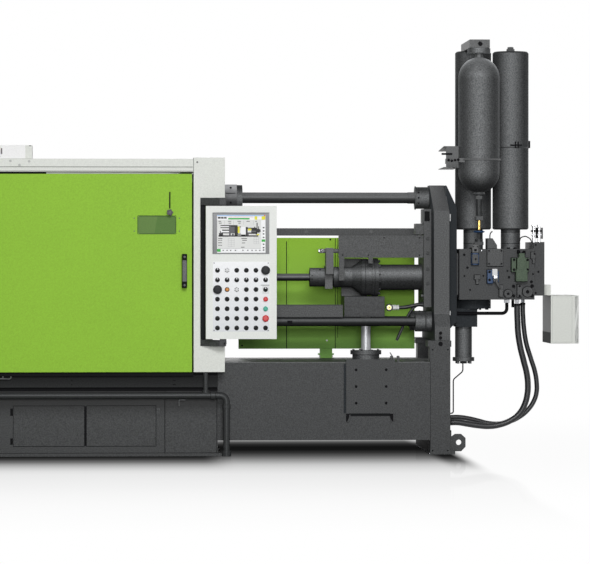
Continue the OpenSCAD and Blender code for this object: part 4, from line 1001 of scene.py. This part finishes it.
def add_manifold():
    body = softened("manifold", DARK, 3.0)
    # Painted shade on the sides of the flange under the manifold
    paint(body, SHADOW_SLATE, lambda c, n: c.z < UNDERSIDE and abs(n.z) < 0.5)
    softened("return_cylinder", ROUND, 1.5)
    electric = softened("electric_box", LIGHT, 3.0)
    # Painted shade on the box's left faces
    paint(electric, GREY, lambda c, n: n.x < -0.7 and c.z < 976)
    # First directional valve: blue body with a grey centre, and a grey block over it
    blue = blocks(3, (1813, 1859, FACE - 34, BACK, 1167, 1241))
    dark = blocks(3, (1816, 1854, FACE - 46, FACE - 30, 1176, 1232))
    grey = blocks(3, (1817, 1857, FACE - 30, BACK, 1243, 1292))
    black = screws(grid((1818, 1854), FACE - 34, (1173, 1235)), 7, 3)
    black += screws(grid((1824, 1850), FACE - 30, (1281,)), 8, 3)
    black += [rod((1837, FACE - 46, 1204), FRONT, 5, 12)]
    black += blocks(0.5, (1829, 1845, FACE - 31, FACE - 29, 1252, 1266))
    # Second valve: blue plate with a white plug, a grey cap and its cable
    blue += blocks(3, (1911, 1945, FACE - 40, BACK, 1052, 1136), (1945, 1984, FACE - 22, BACK, 1060, 1128))
    white = blocks(3, (1940, 1973, FACE - 52, FACE - 21, 1098, 1143))
    grey += [turned((1963, FACE - 20, 1077), FRONT, [(0, 16.6), (22, 16.6), (25, 14), (26, 8)], 36)]
    zinc = blocks(2, (1950, 1972, FACE - 56, FACE - 46, 1083, 1100))
    grey += [pipe([(1961, FACE - 44, 1084), (1966, FACE - 58, 1062), (1978, FACE - 52, 1040), (1992, FACE - 30, 1022),
                   (1996, FACE + 6, 1012)], 13)]
    black += bolts(grid((1924,), FACE - 40, (1124, 1074)), 13, 5)
    # Cover plate with four screws, and the box above it with a slanted side
    dark += blocks(2.5, (1912.5, 2010.5, FACE - 20, BACK, 1160, 1268))
    dark += [prism([(1914, 1266), (1974, 1266), (1974, 1290), (1946, 1333), (1914, 1333)], (FACE - 14, -170), 2)]
    black += screws(grid((1923, 2000), FACE - 20, (1255, 1174)), 11, 3)
    black += blocks(0, (1912.5, 1976, FACE - 15.5, FACE - 10, 1266.5, 1270))
    black += [pipe([(1936, -230, 1330), (1936, -230, 1352), (1940, -232, 1368), (1952, -232, 1376)], 7)]
    # Servo valve: a sage body with side plates, its foot wider than its neck
    sage = [prism([(2087.7, 1065), (2159, 1065), (2159, 1132), (2152, 1140), (2152, 1206), (2141, 1216), (2141, 1240),
                   (2107, 1240), (2107, 1216), (2094, 1206), (2094, 1140), (2087.7, 1132)], (FACE - 62, BACK), 3)]
    sage += blocks(2.5, (2062, 2089, FACE - 50, BACK, 1124, 1210), (2150, 2169, FACE - 50, BACK, 1124, 1210))
    black += bolts(grid((2076, 2160), FACE - 50, (1199, 1137.5)), 13, 6)
    black += [turned((x, FACE - 30, z - 12), UP, [(0, 9), (8, 9), (10, 10.5), (20, 10.5), (26, 6)], 8)
              for x, z in ((2105.5, 1248), (2140.6, 1242))]
    sage += blocks(2, (2106, 2143, FACE - 65, FACE - 61, 1140, 1204), (2094, 2153, FACE - 65, FACE - 61, 1074, 1124))
    # T fitting, blocks and bars along the bottom
    dark += blocks(3, (1832, 1868, FACE - 26, BACK, 1076, 1104)) + blocks(2, (1842, 1858, FACE - 22, BACK, 1048, 1078))
    dark += blocks(2.5, (1987, 2010, FACE - 24, BACK, 968, 1042), (2099.6, 2127.5, FACE - 26, BACK, 968, 1045))
    dark += [turned((2044, FACE, 988), FRONT, [(-1, 26.5), (16, 26.5), (19, 24), (19, 16), (14, 15)], 40),
             turned((2165, FACE, 1000), FRONT, [(-1, 32), (14, 32), (17, 29), (17, 20), (13, 19)], 44)]
    black += [turned((2044, FACE - 13, 988), FRONT, [(0, 9), (5, 9), (6, 8)], 6),
              turned((2165, FACE - 12, 1000), FRONT, [(0, 12), (5, 12), (6, 11)], 6)]
    black += bolts(grid((2078.8, 2113.5), FACE, (1035, 975)), 15, 30)
    black += bolts(grid((2194.6,), FACE, (1035, 975)), 18, 8)
    black += [port((x, FACE, z), FRONT, r, 1.5, r * 0.62, 0.6, r * 0.6, 28)
              for x, z, r in ((1771, 1098, 6), (1807, 1011.6, 6), (1890, 1099, 6), (2200, 1110, 6), (2190, 1062, 9.5),
                              (1790, 1150, 8), (1770, 1230, 8), (2050, 1090, 8), (2040, 1130, 6))]
    dark += blocks(2, (2186, 2212, FACE - 22, BACK, 1206, 1246), (2196, 2210, FACE - 16, FACE - 1, 1176, 1207))
    black += [rod((2206, FACE - 22, 1236), FRONT, 5, 11)]
    # End block: port rims and screws
    black += [port((2239, -240, 1124), FRONT, 7, 1.5, 4, 0.4, 4, 24)]
    black += screws(grid((2222,), -240, (992, 1292)), 12, 3)
    zinc += screws([(1876, FACE - 28, 1257)], 7, 3)
    black += [pipe([(2132, -120, 1300), (2140, -122, 1338), (2172, -122, 1348), (2204, -124, 1330),
                    (2212, -130, 1305)], 7)]
    # Painted shadow: dark lines round whatever is bolted to the front face, and rings round the two round bosses
    black += blocks(0, *[(x0 - 3, x1 + 3, FACE - 1.5, BACK, z0 - 3, min(z1 + 3, 1267)) for x0, x1, z0, z1 in (
        (1813, 1859, 1167, 1241), (1817, 1857, 1243, 1268), (1911, 1945, 1052, 1136), (1912.5, 2010.5, 1160, 1268),
        (2087.7, 2159, 1065, 1136), (2062, 2169, 1124, 1210), (2107, 2141, 1208, 1240), (1832, 1868, 1076, 1104),
        (1987, 2010, 968, 1042), (2099.6, 2127.5, 968, 1045), (2186, 2212, 1206, 1246), (2196, 2210, 1176, 1207),
        (1842, 1858, 1048, 1078))])
    black += [turned((x, BACK, z), FRONT, [(0, r), (2.5, r)], 44) for x, z, r in ((2044, 988, 29.5), (2165, 1000, 35))]
    add("manifold_blocks", dark, MID)
    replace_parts(add("blue_valves", blue, BLUE), "valves")
    add("servo_valve", sage, SAGE)
    add("manifold_screws", zinc, ZINC)
    add("manifold_black_parts_and_painted_shadow", black, BLACK, slot="black_plastic")
    add("manifold_grey_parts", grey, GREY)
    add("valve_plug", white, WHITE, slot="black_plastic")
    add_fittings()
    add("end_tubes", [pipe([(x, -150, 1308), (x, -150, 1404), (x - 6, -150, 1419)], 19) for x in (2220, 2255)]
        + blocks(2, (2206, 2269, -161, -139, 1350, 1362)), CHROME)
    add("end_tube_clamps", [rod((2238, -158, 1334), UP, 66, 13),
                            blocks(2, (2203, 2272, -163, -137, 1374, 1384), (2268, 2277, -160, -140, 1330, 1400))],
        BLACK, slot="black_plastic")
    # Return pipe to the tank
    add("thin_pipes", [pipe([(1777, -130, 555), (1777, -130, 500), (1717, -130, 449), (1717, -130, 238),
                             (1690, -130, 236)], 8), pipe([(2096, -90, 951), (2096, -90, 900)], 18)], BLACK,
        slot="dark_paint")
    add("return_cylinder_nuts", [turned((1788, -60, 779), UP, [(-1, 30), (24, 30), (27, 27)], 6),
                                 turned((1788, -60, 563), DOWN, [(0, 24), (14, 24), (16, 21)], 6),
                                 screws([(1848 + x, -60 + y, 893) for x, y in around(94, 22, 382, 45)], 15, 8,
                                               DOWN)], DARK)
    # Electric box: door seam, a painted highlight on its side edge, and painted shade on its side
    seam = (-221, -219)
    add("electric_box_seams", blocks(0, (2452, 2454, *seam, 684, 968), (2330, 2332, *seam, 684, 968),
                                     (2330, 2454, *seam, 966.5, 968.5), (2330, 2454, *seam, 683, 685)), BOX_GREY)
    add("electric_box_edge_highlight", blocks(2, (2470, 2496, -220, -212, 678, 974)), HOUSING)
    add("electric_box_side_painted_shade", blocks(0.5, (2317.6, 2320, -214, 180, 677, 745)), SEAM_DARK_AND_SHADE, slot="light_paint")


def add_fittings():
    """Nuts and sockets where the hoses start and end, and one more nut under the manifold."""
    nuts, sockets = [], []
    for x, y, z, r, foot, foot_r in ((2114, -170, 915, 22.0, 182, 21.0), (2155, -122, 920, 18.0, 212, 17.0)):
        nuts += [turned((x, y, UNDERSIDE), DOWN, [(0, r * 0.62), (2, r * 0.72), (16, r * 0.72), (18, r * 0.58),
                                                  (UNDERSIDE - z - 4, r * 0.58)], 6),
                 turned((1664, y, foot), RIGHT, [(0, foot_r * 0.9), (2, foot_r), (15, foot_r),
                                                 (17, foot_r * 0.88)], 6)]
        sockets += [turned((x, y, z + 10), DOWN, [(0, r * 0.80), (1.5, r * 0.92), (13, r * 0.92), (14, r * 0.86)], 36),
                    turned((1681, y, foot), RIGHT, [(0, foot_r * 0.86), (2, foot_r * 0.93), (17, foot_r * 0.93),
                                                    (19, foot_r * 0.84)], 36)]
    nuts += [turned((2049, -170, UNDERSIDE), DOWN, [(0, 17), (2, 19), (20, 19), (22, 16)], 6)]
    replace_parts(add("hose_nuts", nuts, ZINC), "fittings")
    add("hose_sockets", sockets, PLASTIC)


# ---------------------------------------------------------------- accumulators

BOTTLES = (1865, 2103)  # where the two gas bottles stand along the machine
BAND = ((0, 114), (0.6, 115.6), (8, 115.6), (8.6, 114))


def add_accumulators():
    soften(("gas_bottles", ROUND, 2.0), ("bladder_accumulator", BLADDER, 2.0), ("accumulator_bracket", GREY, 1.5))
    add("bracket_pin", rod((1618, -389, 1854), RIGHT, 66, 12, 1.5), BLACK)
    add("bracket_screws", bolts([(x, -386, z) for x, z in ((1662, 1816), (1682, 1812), (1702, 1816), (1722, 1818))],
                                    13, 4), BLACK)
    softened("accumulator_head", GREY, 2.5)
    # Handwheel: a rim, a hub and four spokes, on a bright spindle
    x, y, z = 1865, -250, 1374
    rim = turned((x, y, z - 6), UP, [(0, 29), (2, 32), (3, 35), (6, 36), (9, 35), (11, 32), (12, 29)], 48, cap=False)
    hub = turned((x, y, z - 5), UP, [(0, 10), (2, 12), (9, 12), (11, 9)], 28)
    modified(rim, "SOLIDIFY", thickness=5 * MM, offset=-1)
    spokes = [rod((x + 8 * c, y + 8 * s, z), (c, s, 0), 22, 6) for c, s in around(1, 45, 405, 90)]
    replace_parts(add("handwheel", [rim, hub, spokes], BLUE, "valve_wheel", SLOT["valve_wheel"]), "valve_wheel")
    add("valve_spindle", rod((x, y, 1386), UP, 58, 17), BRASS)
    add("valve_gland", turned((x, y, 1443), UP, [(0, 18), (4, 26), (26, 26), (30, 20)], 8), GREY)
    # Bands round the bottles, with their bolts
    add("bottle_bands", [turned((x, 100, 1903), UP, BAND, 72) for x in BOTTLES[::-1]], DARK)
    add("band_clamp", blocks(1.5, (2088, 2162, -26, -14, 1918, 1925), (2117, 2123, -28, -12, 1904, 1944),
                             (2135, 2141, -28, -12, 1904, 1944)) + blocks(2, (2214, 2228, 90, 110, 1906, 1952)), BLACK)
    add("strap_clamp", blocks(2, (1731, 1786, -334, -300, 1803, 1831)), GREY)
    add("bladder_collars", turned((1865, -250, 1616), DOWN, [(-6, 34), (0, 36), (10, 36), (12, 30)], 40), DARK)
    # Valve head over the accumulators
    add("head_ports", port((1868, -310, 2540), FRONT, 13, 1, 13 * 0.6, 0.4, 13 * 0.6, 28), BLACK)
    add("bottle_top_fittings", turned((2103, 100, 2514), UP, [(0, 24), (3, 26), (18, 26), (20, 20), (30, 19),
                                                              (32, 14)], 8), GREY)
    add("neck_seams", [turned((x, 100, z), UP, [(0, 62.2), (3, 62.2)], 56) for x in BOTTLES for z in (1300, 1372)],
        BLACK)
    add("neck_studs", bolts([(x + 40 * c, 100 + 76 * s, 1267) for x in BOTTLES for c, s in around(1, 0, 360, 60)],
                                18, 10, UP), BLACK)
    add("accumulator_pipe_nuts", [turned((1865, -250, z), UP, [(0, r * 0.88), (2, r), (20, r), (22, r * 0.88)], 6)
                                  for z, r in ((1290, 32), (1576, 22))], GREY)


# ---------------------------------------------------------------- stage

AMBIENT = 0.10
FLOOR_SIZE = 160
MACHINE_MIDDLE, MACHINE_HALF = (-0.45, 0, 0), (2.12, 0.55, 0)  # its rough footprint
SHADOW_REACH, MIRROR_REACH, MIRROR_SHARE = 1.3, 4.6, 0.16  # metres, metres, and how much the floor reflects
# Name, place, aim, size in metres and power in watts
LAMPS = (
    ("front_softbox", (0.9, -13.0, 5.6), (0.4, 0, 1.0), (3.4, 2.8), 740),
    ("front_fill", (0.4, -14.5, 2.0), (0.4, 0, 1.0), (3.0, 2.0), 520),
    ("left_softbox", (-8.0, 3.0, 5.0), (0.8, 0, 1.4), (3.0, 4.0), 150),
    ("back_softbox", (-1.0, 12.0, 7.0), (0.0, 0, 1.0), (4.0, 3.0), 420),
    ("right_softbox", (11.0, 6.0, 5.0), (1.5, 0, 1.2), (3.0, 3.0), 200))
# Painted shadow on the floor, how bright it is by its y: far in front, before the tank, and before the shot unit's
# base
FAR_TAIL = ((-6.5, 1.0), (-4.36, 0.955), (-3.88, 0.946), (-3.4, 0.93), (-2.87, 0.92))
TANK_TAIL = (*FAR_TAIL, (-2.34, 0.90), (-2.06, 0.83), (-1.78, 0.66), (-1.5, 0.44), (-1.205, 0.175), (-0.907, 0.045),
             (-0.7, 0.016), (-0.6, 0.01), (0.55, 0.01), (0.8, 0.12), (1.05, 0.45), (1.3, 0.75), (1.8, 1.0))
UNIT_TAIL = (*FAR_TAIL, (-2.34, 0.90), (-2.06, 0.84), (-1.78, 0.76), (-1.5, 0.64), (-1.205, 0.42), (-0.907, 0.21),
             (-0.6, 0.093), (-0.28, 0.03), (0.05, 0.007), (0.39, 0.006), (0.62, 0.016), (0.75, 0.027),
             (0.98, 0.088), (1.1, 0.2), (1.3, 0.55), (1.8, 1.0))


def light_path_mask(wire):
    """1 for the rays that see the white background: the camera's, and reflections and light through glass."""
    path = wire.node("LightPath").outputs
    seen = path["Is Camera Ray"]
    for other in ("Is Glossy Ray", "Is Transmission Ray"):
        seen = wire.number("MAXIMUM", seen, path[other])
    return seen, path["Is Camera Ray"]


def floor_material():
    """Pale floor: white to the camera, with a contact shadow from occlusion, a shadow painted by position in front of
    the machine, and a faint reflection close to it.
    """
    material = bpy.data.materials.new("pale_floor")
    material.use_nodes = True
    wire = Wiring(material.node_tree)
    number, vector, ramp = wire.number, wire.vector, wire.spread
    matt = wire.nodes["Principled BSDF"]
    matt.inputs["Base Color"].default_value = (0.5, 0.5, 0.5, 1)
    matt.inputs["Roughness"].default_value = 0.7
    matt.inputs["Specular IOR Level"].default_value = 0.0
    white = wire.node("Emission")
    gloss = wire.node("BsdfGlossy")
    gloss.inputs["Roughness"].default_value = 0.04

    def blend(factor, a, b):
        return number("ADD", number("MULTIPLY", number("SUBTRACT", 1, factor), a), number("MULTIPLY", factor, b))

    place = wire.place()
    off = vector("SUBTRACT", vector("ABSOLUTE", vector("SUBTRACT", place, MACHINE_MIDDLE)), MACHINE_HALF)
    away = vector("LENGTH", vector("MAXIMUM", off, (0, 0, 0)))
    # Contact shadow: how much of the space above each place of the floor is taken, within a pace
    taken = wire.node("AmbientOcclusion", samples=8)
    taken.inputs["Distance"].default_value = SHADOW_REACH
    open_share = ramp(taken.outputs["AO"], 0.5, 0.97, 0.008)
    # In front the shadow is painted by position: a long tail before the tank, and another before the shot unit's base,
    # dark under it
    spot = wire.node("SeparateXYZ", place).outputs
    x, y = spot["X"], spot["Y"]
    tank, unit = wire.steps(y, TANK_TAIL), wire.steps(y, UNIT_TAIL)
    front = blend(ramp(x, 1.50, 1.60), blend(ramp(x, 0.12, 0.32), tank, unit), tank)
    front = blend(ramp(x, 1.655, 1.765), front, 1.0)
    inside = number("MINIMUM", number("ADD", x, 2.9), number("SUBTRACT", 1.9, y))
    share = blend(ramp(inside, 0.0, 0.5), open_share, front)
    wire.link(share, white.inputs["Strength"])
    seen, by_camera = light_path_mask(wire)
    shadow = wire.node("MixShader", seen, matt.outputs[0], white.outputs[0])
    shine = number("MULTIPLY", number("MULTIPLY", by_camera, share), ramp(away, 0.0, MIRROR_REACH, MIRROR_SHARE, 0.0))
    mirror = wire.node("MixShader", shine, shadow.outputs[0], gloss.outputs[0])
    wire.link(mirror.outputs[0], wire.nodes["Material Output"].inputs["Surface"])
    return material


def add_stage():
    """A pale floor, a white background, and soft studio lamps that shine from above and in front."""
    deselect()
    bpy.ops.mesh.primitive_plane_add(size=FLOOR_SIZE, location=(0, 0, 0))
    floor = active("floor")
    floor.data.materials.append(floor_material())
    world = bpy.data.worlds.new("studio")
    bpy.context.scene.world = world
    world.use_nodes = True
    wire = Wiring(world.node_tree)
    mix = wire.node("Mix", data_type="RGBA")
    wire.feed([mix.inputs[label] for label in ("Factor", "A", "B")],
              (light_path_mask(wire)[0], (AMBIENT, AMBIENT, AMBIENT, 1), (1, 1, 1, 1)))
    wire.link(mix.outputs["Result"], wire.nodes["Background"].inputs["Color"])
    for name, place, aim, size, power in LAMPS:
        bpy.ops.object.light_add(type="AREA", location=place, rotation=facing(place, aim))
        lamp = bpy.context.active_object
        lamp.name = name
        lamp.data.shape = "RECTANGLE"
        lamp.data.size, lamp.data.size_y = size
        lamp.data.energy = power


# ---------------------------------------------------------------- the machine

add_camera()
add_cords()
add_clamp_base()
add_guard()
add_panel()
add_clamp()
add_shot_unit()
add_manifold()
add_accumulators()
add_stage()
bpy.context.scene.view_settings.view_transform = "Standard"
